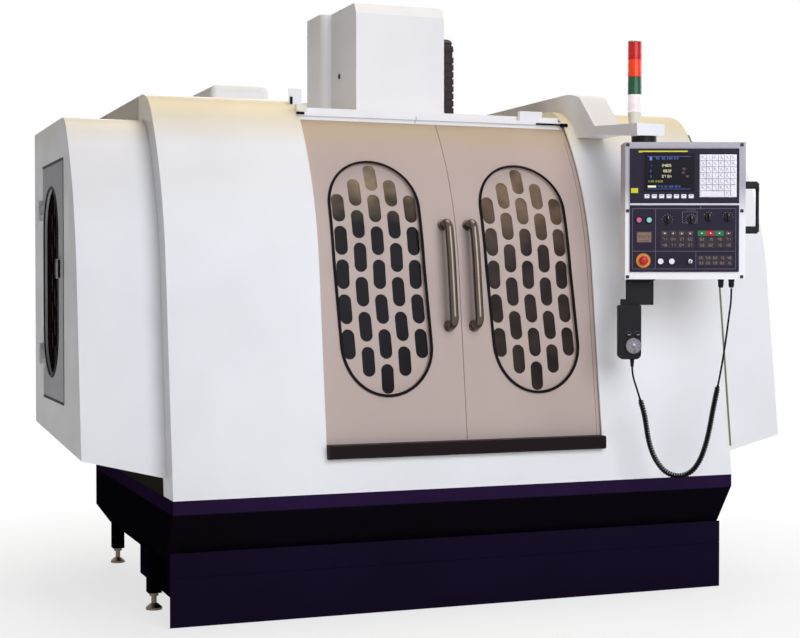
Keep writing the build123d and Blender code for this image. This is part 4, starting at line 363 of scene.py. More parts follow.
FINISHES = {
    powder_coat: {
        "white powder coat": look("@cowl", "column_cover", "head_cover", "front_apron", "door_rail",
                                  "electrical_cabinet", "cabinet_door", "wing_right"),
        # Painted shade: the arm turns grey toward the back, as its face in shade does.
        "white powder coat, dusty at the back": look("#A39B91", "pendant_arm",
                                                     patch=("Y", -270, "@cowl", 170)),
        # Painted warm light: the panels and the left wing are cream at the top, where the warm top light
        # falls.
        "white powder coat, yellowed at the top": look(
            "#E9DDBD", "front_panel_left", "front_panel_right", "wing_left", patch=("Z", 1765, "@cowl", 75)),
        # Painted shade: the strip of the side wall under the wings is dark, standing for the shade under
        # them.
        "white powder coat over dark primer": look("@cowl", "rear_enclosure", gloss=0.0,
                                                   patch=("Z", 540, "#33312A", 3)),
        # The sunk slotted field is dark, the door round it is as the wing.
        "white powder coat with dark field": look("#211A1B", "side_door_left", gloss=0.0,
                                                  patch=("X", -1380.5, "@cowl", 0.5)),
        # Painted warm light: the doors are yellower at the top, where the warm top light falls.
        "taupe powder coat": look("#C4AE8D", rough=0.42, patch=("Z", 1750, "@door", 70)),
        # Painted reflection: the frame is near white below the divider and greyer above it.
        "silver-grey powder coat": look("@box", "pendant_housing", rough=0.4,
                                        patch=("Z", 1490, "#FFFEFF", 60)),
        # Painted shade: the recess under the lip is all but black.
        "navy enamel of the splash tray": look("@tray", "splash_pan", rough=0.4, gloss=0.0, dirt=0.12,
                                               patch=("Z", 401, "#100C14", 2)),
        "navy enamel of the tank": look("@tank", "coolant_tank", rough=0.4, gloss=0.0, dirt=0.12),
        "dark brown enamel": look("#1F1719", "door_sill", rough=0.4, gloss=0.06),
    },
    machine_enamel: {
        "grey enamel on cast iron": look("#9CA3A6", "bed_casting", "column_casting", "head_casting",
                                         "saddle"),
    },
    ground_steel: {
        "ground cast iron": look("#8D8F90", "table", rough=0.34),
        "turned steel": look("#A9AAAC", "spindle", "magazine_drum", "key_switch", rough=0.26),
        "zinc plated steel": look("#766A5C", "levelling_feet", rough=0.36),
        # Painted dark reflection: the tube is tinted dark, as if it reflected a dark room.
        "polished stainless tube": look("#5E544D", "door_handle_left", "door_handle_right", rough=0.17,
                                        stretch=(1, 1, 1), pitch=20),
        "anodised aluminium": look("#807D84", "mpg_dial", rough=0.3),
        "blackened screw steel": look("#3A3A3E", rough=0.4),
    },
    smoked_pane: {
        # Painted reflection: the door panes are lighter and browner at the top and dark below, as the
        # inside's reflection.
        "smoked polycarbonate": look("#94826C", clear=0.06, patch=("Z", 1500, "#100B12", 90)),
        "smoked polycarbonate, clouded": look("#967E66", patch=("Z", 1480, "#332A26", 170)),
        "smoked polycarbonate, clean": look("#1B1518", "side_glass_left"),
    },
    moulded_plastic: {
        "black rubber": look("#0D0A0C", rough=0.6, gloss=0.08),
        # Painted shade: the olive strip stands for the shadow at the right panel's edge.
        "olive edge rubber": look("#76725A", rough=0.6, gloss=0.2),
        "black nylon": look(
            "#131014", "cable_glands", "mpg_body", "mpg_holder", "pendant_swivel", "mode_selector",
            "feed_selector", "rapid_selector", "spindle_selector", rough=0.42, gloss=0.16),
        "grey-brown glass-filled nylon": look("#2C2425", "cable_chain", rough=0.5, gloss=0.2),
        "cream lamp foot": look("#E9E8D4", "tower_body", rough=0.4),
        "dark red cap": look("#7A1A1E", rough=0.4, gloss=0.2),
        "dark purple polyester film": look("@film", "display_bezel", "operator_panel", rough=0.5,
                                           gloss=0.15),
        "black display glass": look("#0E0A18", "display_screen", rough=0.2, gloss=0.06),
        "brown counter glass": look("#8A6F62", rough=0.25, gloss=0.2),
        "pale grey key caps": look("#FBF8FF", "display_keys"),
        "yellow film": look("#E2DA24", rough=0.4, gloss=0.2),
        "green key film": look("#1F7A45", rough=0.4, gloss=0.2),
        "red key film": look("#B02530", rough=0.4, gloss=0.2),
        "brown key film": look("#2C212B", gloss=0.2),
        "red acetal": look("#C4262C", rough=0.3, gloss=0.3),
        "orange collar": look("#E08A1C", rough=0.4),
        "white push cap": look("#F6F2FA", "start_button", "hold_button", rough=0.3),
        "teal push cap": look("#8FD3C8", "power_on_button", rough=0.3),
        "magenta push cap": look("#CF4A88", "power_off_button", rough=0.3),
        "pale print": look("#B9AEBE", rough=0.6),
        "tan print": look("#94807F", rough=0.6),
        "grey print": look("#B9B3C4", rough=0.6),
        "dark print": look("#6A6472", rough=0.6),
    },
    lit_lens: {
        "red lamp acrylic": look("@lamp_red"),
        "orange lamp acrylic": look("@lamp_orange"),
        "green lamp acrylic": look("@lamp_green", glow=0.1),
        "clear lamp acrylic": look("#F0E8EA", glow=0.2, clear=0.5),
        "blue glyphs": look("#4A66B8", glow=0.6, clear=0.0),
        "cream glyphs": look("#D6D2A8", glow=0.7, clear=0.0),
        "pink glyphs": look("#A05C6C", glow=0.3, clear=0.0),
        "lime glyphs": look("#9DA832", glow=0.5, clear=0.0),
    },
}


def finish(name):
    """Material of a name in the table above, made by the finishes operator."""
    return bpy.data.materials[name]


def new_piece(name, bm, materials, body):
    """Turns a bmesh into a piece that rides on a body; one material, or several by face index."""
    mesh = bpy.data.meshes.new(name)
    bmesh.ops.recalc_face_normals(bm, faces=bm.faces)
    bm.to_mesh(mesh)
    bm.free()
    for material in materials if isinstance(materials, list) else [materials]:
        mesh.materials.append(finish(material))
    obj = bpy.data.objects.new(name, mesh)
    bpy.context.scene.collection.objects.link(obj)
    mesh.shade_smooth()
    mesh.set_sharp_from_angle(angle=math.radians(30))
    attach(obj, body)
    return obj


def add_block(bm, matrix, size, bevel=0.0, index=0):
    """Adds a box with rounded edges, its size in millimetres, centred on a matrix."""
    known = set(bm.verts)
    verts = bmesh.ops.create_cube(bm, size=1.0)["verts"]
    bmesh.ops.scale(bm, verts=verts, vec=Vector(size) * MM)
    if bevel:
        edges = list({e for v in verts for e in v.link_edges})
        bmesh.ops.bevel(bm, geom=edges, offset=bevel * MM, segments=2, affect="EDGES", clamp_overlap=True)
    verts = [v for v in bm.verts if v not in known]
    bmesh.ops.transform(bm, matrix=matrix, verts=verts)
    for face in {f for v in verts for f in v.link_faces}:
        face.material_index = index


def add_square_block(bm, x, y, z, size, bevel=0.0, index=0):
    """Adds a block square to the machine, its middle in millimetres."""
    add_block(bm, Matrix.Translation(spot(x, y, z)), size, bevel, index)


def add_tile(bm, matrix, width, height, thick, index=0):
    """Adds a thin flat block that stands on a matrix's XY plane."""
    add_block(bm, matrix @ Matrix.Translation((0, 0, thick * MM / 2)), (width, height, thick),
              index=index)


def add_skin(bm, rings, closed=True, index=0):
    """Adds the faces from each row of vertices to the next. A row of one vertex is a tip."""
    for low, high in zip(rings, rings[1:]):
        steps = max(len(low), len(high))
        for k in range(steps if closed else steps - 1):
            corners = [low[k % len(low)], low[(k + 1) % len(low)],
                       high[(k + 1) % len(high)], high[k % len(high)]]
            corners = list(dict.fromkeys(corners))
            if len(corners) > 2:
                bm.faces.new(corners).material_index = index


def add_lathe(bm, matrix, profile, steps=32, ribs=0.0, index=0):
    """Adds a turned shape: (radius, height) pairs in millimetres about the matrix's Z.
    Ribs make every second line of it thinner by that share."""
    rings = []
    for radius, height in profile:
        if radius <= 0:
            rings.append([bm.verts.new(matrix @ Vector((0, 0, height * MM)))])
            continue
        ring = []
        for k in range(steps):
            angle = 2 * math.pi * k / steps
            reach = radius * MM * (1 - ribs * (k % 2))
            ring.append(bm.verts.new(matrix @ Vector((reach * math.cos(angle), reach * math.sin(angle),
                                                      height * MM))))
        rings.append(ring)
    add_skin(bm, rings, index=index)


def add_screw(bm, matrix, radius, tall, index=0):
    """Adds a pan head screw with a hexagon socket, standing on the matrix's XY plane."""
    socket = radius * 0.45
    add_lathe(bm, matrix, [(radius, 0), (radius, tall * 0.55), (radius * 0.82, tall), (socket, tall),
                           (socket * 0.95, tall * 0.4), (0, tall * 0.4)], steps=12, index=index)


# Strokes of a seven-stroke number, by their place, and the strokes of each digit
STROKES = ((0, 1), (1, 0.5), (1, -0.5), (0, -1), (-1, -0.5), (-1, 0.5), (0, 0))
DIGITS = ("012345", "12", "01346", "01236", "1256", "02356", "023456", "012", "0123456", "012356")


def add_digit(bm, matrix, digit, width, height, stroke, index):
    """Adds a number's strokes as thin raised bars, as on a seven-stroke read-out."""
    for code in DIGITS[digit]:
        right, up = STROKES[int(code)]
        upright = right != 0
        place = matrix @ Matrix.Translation((right * width * MM / 2, up * height * MM / 2, 0))
        add_tile(bm, place, stroke if upright else width * 0.8, height * 0.42 if upright else stroke,
                 0.2, index)


def add_number(bm, matrix, digits, pitch, width, height, stroke, index):
    """Adds a row of digits that starts on a matrix. A space in it is a gap."""
    for k, digit in enumerate(digits):
        if digit != " ":
            add_digit(bm, matrix @ Matrix.Translation((k * pitch * MM, 0, 0)), int(digit), width, height,
                      stroke, index)


def cord_curve(name, points, radius, material=None):
    """One open NURBS spline through metres, with a round section."""
    curve = bpy.data.curves.new(name, "CURVE")
    curve.dimensions = "3D"
    spline = curve.splines.new("NURBS")
    spline.points.add(len(points) - 1)
    for slot_point, point in zip(spline.points, points):
        slot_point.co = (*point, 1.0)
    spline.order_u = 3
    spline.use_endpoint_u = True
    spline.resolution_u = 6
    curve.bevel_depth = radius
    curve.bevel_resolution = 4
    curve.use_fill_caps = radius > 0
    obj = bpy.data.objects.new(name, curve)
    bpy.context.scene.collection.objects.link(obj)
    if material:
        curve.materials.append(material)
    return obj


def shoulder_middle():
    """Y and Z of the middle of the shoulder's arc, which the leaning flat below runs into."""
    return ((WAIST_Z - TRAY_TOP) * math.tan(LEAN) + SHOULDER_R * math.cos(LEAN),
            WAIST_Z - SHOULDER_R * math.sin(LEAN))


def cowl_point(along, depth):
    """Y and Z on the doors' curve, at a distance along it from the waist, and its lean there."""
    lean = LEAN + max(along, 0.0) / SHOULDER_R
    middle_y, middle_z = shoulder_middle()
    y = middle_y - (SHOULDER_R - depth) * math.cos(lean) + min(along, 0.0) * math.sin(lean)
    z = middle_z + (SHOULDER_R - depth) * math.sin(lean) + min(along, 0.0) * math.cos(lean)
    return y, z, lean


def cowl_place(y, z):
    """Distance along the doors' curve from the waist, and depth behind it: cowl_point undone."""
    middle_y, middle_z = shoulder_middle()
    turn = math.atan2(z - middle_z, middle_y - y)
    if turn > LEAN:
        return (turn - LEAN) * SHOULDER_R, SHOULDER_R - math.hypot(z - middle_z, middle_y - y)
    out = (middle_y - y) * math.cos(LEAN) + (z - middle_z) * math.sin(LEAN)
    along = (y - middle_y) * math.sin(LEAN) + (z - middle_z) * math.cos(LEAN)
    return along, SHOULDER_R - out


def add_cowl_strip(bm, x, section, low, high, steps):
    """Adds a strip along the doors' curve. Its section is (right of x, depth) pairs: two or three
    leave it open, more close it and cap its ends."""
    rings = []
    for k in range(steps + 1):
        ring = []
        for right, depth in section:
            y, z, _ = cowl_point(low + (high - low) * k / steps, depth)
            ring.append(bm.verts.new(spot(x + right, y, z)))
        rings.append(ring)
    closed = len(section) > 3
    add_skin(bm, rings, closed)
    if closed:
        bm.faces.new(rings[0])
        bm.faces.new(rings[-1])


def ease(value, low, high):
    """Share from 0 to 1 of the way between two values, with soft ends."""
    share = min(max((value - low) / (high - low), 0.0), 1.0)
    return share * share * (3 - 2 * share)


def window_shift(across, along):
    """Where a point of a door goes, from its window's middle, when the window is drawn out to the
    real one's outline: the slots spread, the gasket closes in on them and the door's edge stays."""
    past = max(abs(along) - WINDOW_STRAIGHT, 0.0)
    reach = math.hypot(across, past) / WINDOW_R
    rim = ease(reach, 0.87, 0.95)
    inside = 1 - ease(reach, 1.06, 1.45)
    wider = (SLOTS_WIDER + (GASKET_WIDER - SLOTS_WIDER) * rim - 1) * inside
    longer = (SLOTS_LONGER + (GASKET_LONGER - SLOTS_LONGER) * rim - 1) * inside
    aside = (SLOTS_ASIDE + FOOT_ASIDE * ease(-along, 0, 350)
             + GASKET_ASIDE * rim * ease(along, -150, 150)) * inside
    return across * (1 + wider) + aside, along * (1 + longer)


def colour_property(name, text, code):
    """Colour that a user can change, its default an sRGB hex value."""
    return FloatVectorProperty(name=name, description=text, default=linear(code), size=4, min=0,
                               max=1, subtype="COLOR")


def length_property(name, text, value):
    """Length that a user can change, its default in millimetres."""
    return FloatProperty(name=name, description=text, default=value * MM, min=0, unit="LENGTH")


class StageSettings(bpy.types.PropertyGroup):
    lens: FloatProperty(name="Lens", description="Focal length of the camera in millimetres",
                        default=70.74, min=10)
    key_power: FloatProperty(name="Key light", description="Strength of the big front light",
                             default=228.0, min=0, unit="POWER")
    room_light: FloatProperty(name="Room light", description="Strength of the even room light",
                              default=0.1, min=0)


class FinishSettings(bpy.types.PropertyGroup):
    cowl: colour_property("Cowl", "Powder coat of the cabin, wings and head cover", "#F8F8FA")
    door: colour_property("Doors", "Powder coat of the sliding doors", "#C4B1A9")
    tray: colour_property("Tray", "Enamel of the splash tray's lip", "#2A1B3B")
    tank: colour_property("Tank", "Enamel of the coolant tank and its skirt", "#1C1329")
    box: colour_property("Control box", "Powder coat of the control box", "#B8B3BD")
    film: colour_property("Panel film", "Film on the display unit and operator panel", "#221A2E")
    lamp_red: colour_property("Top lamp", "Acrylic of the top lens", "#C00A10")
    lamp_orange: colour_property("Second lamp", "Acrylic of the second lens", "#E8420E")
    lamp_green: colour_property("Third lamp", "Acrylic of the third lens", "#0A5C36")


class CordSettings(bpy.types.PropertyGroup):
    diameter: length_property("Cord diameter", "Thickness of the cord itself", 7.0)
    coil_diameter: length_property("Coil diameter", "Outside of the curly stretch", 22.0)
    pitch: length_property("Coil pitch", "Distance from turn to turn", 9.5)


class TowerSettings(bpy.types.PropertyGroup):
    lens_radius: length_property("Lens radius", "Outside radius of the lenses", 25.9)
    ribs: IntProperty(name="Lens ribs", description="Ribs round each lens", default=36, min=8)


class BoxSettings(bpy.types.PropertyGroup):
    latch: length_property("Latch", "Side of the square latches on the box's frame", 12.0)
    line: length_property("Panel line", "Width of the lines printed on the operator panel", 1.6)
    digit: length_property("Digit", "Height of the position read-out's digits", 8.5)


class FixingSettings(bpy.types.PropertyGroup):
    screw: length_property("Screw head", "Radius of the button head screws", 6.0)
    shade_strip_width: length_property("Edge rubber", "Width of the dark strip that paints the shade on the front panel's edge", 10.0)
    flange: length_property("Handle flange", "Radius of the door handles' flanges", 22.0)


def seen_directly(tree):
    """Share that is 1 for what the camera, a mirror or a pane sees."""
    path = add_node(tree, "ShaderNodeLightPath")
    share = path.outputs["Is Camera Ray"]
    for ray in ("Is Glossy Ray", "Is Transmission Ray"):
        either = add_node(tree, "ShaderNodeMath", {0: share, 1: path.outputs[ray]}, operation="MAXIMUM")
        share = either.outputs[0]
    return share


class MACHINE_OT_stage(bpy.types.Operator):
    """Floor, room light, lamps and camera"""
    bl_idname = "machine.stage"
    bl_label = "Stage"

    def execute(self, context):
        settings = context.scene.machine_stage
        scene = context.scene
        scene.view_settings.view_transform = "Standard"
        camera = bpy.data.cameras.new("camera")
        camera.lens = settings.lens
        camera.sensor_width = 36
        camera.clip_end = 100
        holder = bpy.data.objects.new("camera", camera)
        holder.location = CAMERA
        holder.rotation_euler = (math.radians(90 - CAMERA_DIP), 0, math.radians(CAMERA_TURN))
        scene.collection.objects.link(holder)
        scene.camera = holder

        world = bpy.data.worlds.new("white studio")
        scene.world = world
        world.use_nodes = True
        tree = world.node_tree
        tree.nodes.clear()
        dim = add_node(tree, "ShaderNodeBackground", {"Color": linear("#E4EAFA"),
                                                     "Strength": settings.room_light})
        white = add_node(tree, "ShaderNodeBackground", {"Color": linear("#FFFFFF"), "Strength": 1.0})
        mix = add_node(tree, "ShaderNodeMixShader", {0: seen_directly(tree), 1: dim.outputs[0],
                                                    2: white.outputs[0]})
        add_node(tree, "ShaderNodeOutputWorld", {"Surface": mix.outputs[0]})

        bm = bmesh.new()
        bmesh.ops.create_grid(bm, x_segments=1, y_segments=1, size=30)
        mesh = bpy.data.meshes.new("floor")
        bm.to_mesh(mesh)
        bm.free()
        floor = bpy.data.objects.new("floor", mesh)
        scene.collection.objects.link(floor)
        # Painted floor: matt white, and it gets brighter away from the object's shadow.
        material, tree, shader, coords = blank_material("white studio floor", Roughness=0.7,
                                                        Specular_IOR_Level=0.1)
        tree.links.new(mottled(tree, coords, linear("#FAFAFA"), 900, 0.98, 1.0),
                       shader.inputs["Base Color"])
        glow = add_node(tree, "ShaderNodeEmission", {"Color": linear("#FFFFFF"), "Strength": 1.0})
        far = add_node(tree, "ShaderNodeVectorMath", {0: coords}, operation="LENGTH")
        share = add_node(tree, "ShaderNodeMapRange", {"Value": far.outputs["Value"], "From Min": 1.4,
                                                     "From Max": 2.6, "To Min": 0.72, "To Max": 1.0})
        part = add_node(tree, "ShaderNodeMath", {0: seen_directly(tree), 1: share.outputs["Result"]},
                        operation="MULTIPLY")
        mix = add_node(tree, "ShaderNodeMixShader", {0: part.outputs[0], 1: shader.outputs[0],
                                                    2: glow.outputs[0]})
        tree.links.new(mix.outputs[0], tree.nodes["Material Output"].inputs["Surface"])
        mesh.materials.append(material)

        for name, (place, aim, size, power, hue) in LAMPS.items():
            light = bpy.data.lights.new(name, "AREA")
            light.shape = "DISK"
            light.size = size
            light.energy = settings.key_power * power
            light.color = linear(hue)[:3]
            lamp = bpy.data.objects.new(name, light)
            lamp.location = place
            lamp.rotation_euler = (Vector(aim) - Vector(place)).to_track_quat("-Z", "Y").to_euler()
            scene.collection.objects.link(lamp)
        return {"FINISHED"}


class MACHINE_OT_finishes(bpy.types.Operator):
    """Paint, metal, glass, rubber and plastic, on the pieces that keep their own shape too"""
    bl_idname = "machine.finishes"
    bl_label = "Finishes"

    def execute(self, context):
        settings = context.scene.machine_finish

        def colour(code):
            """Colour of a hex value, or of a setting after an @."""
            return list(getattr(settings, code[1:])) if code.startswith("@") else linear(code)

        for make, looks in FINISHES.items():
            for name, (code, nodes, options) in looks.items():
                options = dict(options)
                if "patch" in options:
                    axis, edge, low_code, soft = options["patch"]
                    options["patch"] = (axis, edge, colour(low_code), soft)
                material = make(name, colour(code), **options)
                for node in nodes:
                    mesh = NODES[node].data
                    mesh.materials.clear()
                    mesh.materials.append(material)
        return {"FINISHED"}


class MACHINE_OT_cord(bpy.types.Operator):
    """Curly cord of the handwheel unit, one spline from its relief to the box's gland"""
    bl_idname = "machine.cord"
    bl_label = "Handwheel cord"

    def execute(self, context):
        settings = context.scene.machine_cord
        down, curl, up = ([box_point(u, CORD_PLANE, z) for u, z in route]
                          for route in (CORD_DOWN, CORD_CURL, CORD_UP))
        guide = cord_curve("curl_guide", curl, 0.0)
        context.view_layer.update()
        line = bpy.data.meshes.new_from_object(guide.evaluated_get(context.evaluated_depsgraph_get()))
        spots = [v.co.copy() for v in line.vertices]
        bpy.data.meshes.remove(line)
        bpy.data.objects.remove(guide)
        reach = [0.0]
        for a, b in zip(spots, spots[1:]):
            reach.append(reach[-1] + (b - a).length)
        total = reach[-1]
        radius = (settings.coil_diameter - settings.diameter) / 2
        count = round(total / settings.pitch) * CURL_STEPS
        helix = []
        step = 0
        for k in range(1, count):
            at = total * k / count
            while reach[step + 1] < at:
                step += 1
            share = (at - reach[step]) / (reach[step + 1] - reach[step])
            centre = spots[step].lerp(spots[step + 1], share)
            along = (spots[step + 1] - spots[step]).normalized()
            side = along.cross(BOX_OUT).normalized()
            swell = ease(min(at, total - at), 0, CURL_SWELL)
            angle = 2 * math.pi * k / CURL_STEPS
            helix.append(centre + (side * math.cos(angle) + BOX_OUT * math.sin(angle)) * radius * swell)
        points = down[:-1] + helix + up[1:]
        cord = cord_curve("handwheel_cord", points, settings.diameter / 2, finish("black rubber"))
        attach(cord, "pendant")
        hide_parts("cord_lower_lead", "cord_coil", "cord_upper_lead")
        return {"FINISHED"}


class MACHINE_OT_signal_tower(bpy.types.Operator):
    """Four ribbed lenses of the signal tower with joints between them and a dark cap ring"""
    bl_idname = "machine.signal_tower"
    bl_label = "Signal tower"

    def execute(self, context):
        settings = context.scene.machine_tower
        radius = settings.lens_radius / MM
        bm = bmesh.new()
        axis = Matrix.Translation(spot(*TOWER_AXIS, 0))
        for k in range(LENSES):
            low = TOWER_FOOT + k * LENS_TALL
            high = low + LENS_TALL
            wall = [(radius - 1.5, low + 1), (radius, low + 2), (radius, high - 4),
                    (radius - 0.8, high - 2), (radius - 2.6, high - 2), (radius - 2.6, low + 1),
                    (radius - 1.5, low + 1)]
            add_lathe(bm, axis, wall, steps=2 * settings.ribs, ribs=0.012, index=k)
            joint = [(TUBE_R, high - 2.2), (radius - 0.4, high - 2.2), (radius - 0.4, high + 0.6),
                     (TUBE_R, high + 0.6), (TUBE_R, high - 2.2)]
            add_lathe(bm, axis, joint, index=k if k < LENSES - 1 else LENSES)
            bulb = [(TUBE_R, low + 8), (13, low + 8), (15, low + 24), (13, high - 16), (TUBE_R, high - 16)]
            add_lathe(bm, axis, bulb, steps=24, index=k)
        lenses = new_piece("signal_lenses", bm, [
            "clear lamp acrylic", "green lamp acrylic", "orange lamp acrylic", "red lamp acrylic",
            "dark red cap"], "machine")
        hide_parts("tower_lenses")
        return {"FINISHED"}


class MACHINE_OT_box_front(bpy.types.Operator):
    """Latches, divider, printed lines, slot, coloured strips and counter of the control box"""
    bl_idname = "machine.box_front"
    bl_label = "Control box front"

    def execute(self, context):
        settings = context.scene.machine_box
        side = settings.latch / MM
        bm = bmesh.new()
        for across in LATCH_COLUMNS:
            for height in LATCH_ROWS:
                add_block(bm, box_matrix(across, BOX_FACE + 1.5, height), (side, side, 3), bevel=1.4)
                add_screw(bm, box_matrix(across, BOX_FACE + 3, height), 4, 1.2, index=1)
        new_piece("box_latches", bm, ["black nylon", "blackened screw steel"], "pendant")

        bm = bmesh.new()
        add_block(bm, box_matrix(142, BOX_FACE + 3.1, 1482), (400, 7, 6.2), bevel=1)
        new_piece("face_divider", bm, "silver-grey powder coat", "pendant")

        bm = bmesh.new()
        wide = settings.line / MM
        for left, right, low, high in PANEL_LINES:
            add_tile(bm, on_plate((left + right) / 2, (low + high) / 2), right - left + wide,
                     high - low + wide, 0.3)
        add_tile(bm, on_plate(201, 1470), 3, 8, 0.3)
        new_piece("panel_lines", bm, "dark print", "pendant")

        for name, (materials, blocks) in PLATE_BLOCKS.items():
            bm = bmesh.new()
            for across, height, out, size, bevel, index in blocks:
                add_block(bm, on_plate(across, height, out), size, bevel, index)
            new_piece(name, bm, materials, "pendant")

        bm = bmesh.new()
        across, height = COUNTER
        add_block(bm, on_plate(across, height, 1.2), (61, 46, 2.4), bevel=1)
        add_block(bm, on_plate(across, height, 2.6), (52, 36, 0.8), bevel=0.3, index=1)
        add_number(bm, on_plate(across - 19.5, height + 2, 3.0), "004276", 7.8, 5, 9, 1.1, 0)
        add_tile(bm, on_plate(across, height - 12, 3.0), 40, 1.2, 0.2)
        new_piece("hour_counter", bm, ["brown key film", "brown counter glass"], "pendant")
        return {"FINISHED"}


class MACHINE_OT_screen_picture(bpy.types.Operator):
    """Rows of generic numbers on the display"""
    bl_idname = "machine.screen_picture"
    bl_label = "Screen picture"

    def execute(self, context):
        tall = context.scene.machine_box.digit / MM
        bm = bmesh.new()
        blue, cream, pink, lime = range(4)
        bars = ((18, 1649, 9, 13, blue), (DISPLAY_MIDDLE - 0.5, 1657, 160, 0.9, blue),
                (22, 1547, 30, 7, cream), (DISPLAY_MIDDLE - 0.5, 1538, 160, 0.9, blue))
        for across, height, width, thick, index in bars:
            add_tile(bm, box_matrix(across, SCREEN_FRONT, height), width, thick, 0.2, index)
        rows = [(36, 1650, "703 185 2460 913", 6.5, blue), (134, 1612, "100", 6, pink),
                (134, 1598, "50", 6, pink), (150, 1584, "80", 6, pink),
                (11, 1566, "5128 04639", 6.5, lime), (44, 1547, "1472 03 658 2019", 6.5, blue)]
        for k, digits in enumerate(("24805", "10632", "07154")):
            height = 1624 - 20 * k
            rows += [(18, height, str(k + 1), 7, blue), (62, height, digits, tall, cream)]
        for left, height, digits, size, index in rows:
            add_number(bm, box_matrix(left, SCREEN_FRONT, height), digits, size * 0.82, size * 0.55,
                       size, size * 0.14, index)
        new_piece("screen_picture", bm, ["blue glyphs", "cream glyphs", "pink glyphs", "lime glyphs"],
                  "pendant")
        return {"FINISHED"}


class MACHINE_OT_keys(bpy.types.Operator):
    """Caps of the soft keys, numbers on the keypad and films on the operator panel's keys"""
    bl_idname = "machine.keys"
    bl_label = "Keys"

    def execute(self, context):
        bm = bmesh.new()
        for k in range(SOFT_KEYS):
            across = DISPLAY_MIDDLE + SOFT_KEY_PITCH * (k - (SOFT_KEYS - 1) / 2)
            add_block(bm, on_plate(across, 1511, 1.6), (20, 16, 3.4), bevel=1.4)
            add_tile(bm, on_plate(across, 1513.5, 3.3), 9, 2.2, 0.15, index=1)
        new_piece("soft_key_caps", bm, ["pale grey key caps", "dark print"], "pendant")

        def keypad(column, row, right, up, out):
            """Matrix off a key's middle, its column and row counted from the keypad's middle."""
            return on_plate(KEYPAD[0] + column * KEY_PITCH_U + right,
                            KEYPAD[1] - row * KEY_PITCH_Z + up, out)

        bm = bmesh.new()
        for row in range(KEY_ROWS):
            for column in range(KEY_COLUMNS):
                # The two large keys stand here.
                if column == 5 and row > 4 or column < 4 and row == 6:
                    continue
                place = (column - (KEY_COLUMNS - 1) / 2, row - (KEY_ROWS - 1) / 2)
                add_digit(bm, keypad(*place, -2.5, 2, 4.5), (3 * row + column) % 10, 5, 8, 1.3, 0)
                add_tile(bm, keypad(*place, 4, -4.5, 4.5), 5, 1.6, 0.15)
        for gap in range(1, KEY_COLUMNS):
            add_tile(bm, keypad(gap - KEY_COLUMNS / 2, 0, 0, 0, 4.5), 1.5, 150, 0.1, 2)
        for gap in range(1, KEY_ROWS):
            add_tile(bm, keypad(0, gap - KEY_ROWS / 2, 0, 0, 4.5), 130, 1.5, 0.1, 2)
        add_block(bm, keypad(2.5, 2.5, 0, 0, 3.2), (19.5, 40.5, 4), bevel=1.2, index=1)
        add_block(bm, keypad(-1, 3, 0, 0, 3.2), (4 * KEY_PITCH_U - 3, 18.6, 4), bevel=1.2, index=1)
        new_piece("keypad_marks", bm, ["dark print", "white push cap", "grey print"], "pendant")

        bm = bmesh.new()
        dark, green, red, tan, cap = range(5)
        for field, (across, high, columns, rows) in enumerate(FILM_KEYS):
            add_block(bm, on_plate(sum(across) / 2, sum(high) / 2, 0.9),
                      (across[1] - across[0], high[1] - high[0], 1.8), bevel=0.5, index=dark)
            step_u = (across[1] - across[0]) / columns
            step_z = (high[1] - high[0]) / rows
            for row in range(rows):
                for column in range(columns):
                    u = across[0] + (column + 0.5) * step_u
                    z = high[1] - (row + 0.5) * step_z
                    if field == 1 and row == 0 and column < 3:
                        add_tile(bm, on_plate(u, z, 1.7), step_u - 1, step_z - 4, 0.5,
                                 red if column == 1 else green)
                        add_tile(bm, on_plate(u, z, 2.2), 5, 4, 0.2, cap)
                        continue
                    add_tile(bm, on_plate(u, z, 1.7), step_u - 3, step_z - 4, 0.4, dark)
                    for k in range(2):
                        add_digit(bm, on_plate(u - 4 + 9 * k, z, 2.1),
                                  (7 * row + 3 * column + 4 * k + field) % 10, 5.5, 9, 1.3, tan)
                    if field < 2 and row == 0:
                        add_tile(bm, on_plate(u + 1, z - 1, 2.2), 3.5, 5, 0.3, cap)
        new_piece("panel_keys", bm, ["brown key film", "green key film", "red key film", "tan print",
                                     "pale grey key caps"], "pendant")
        return {"FINISHED"}


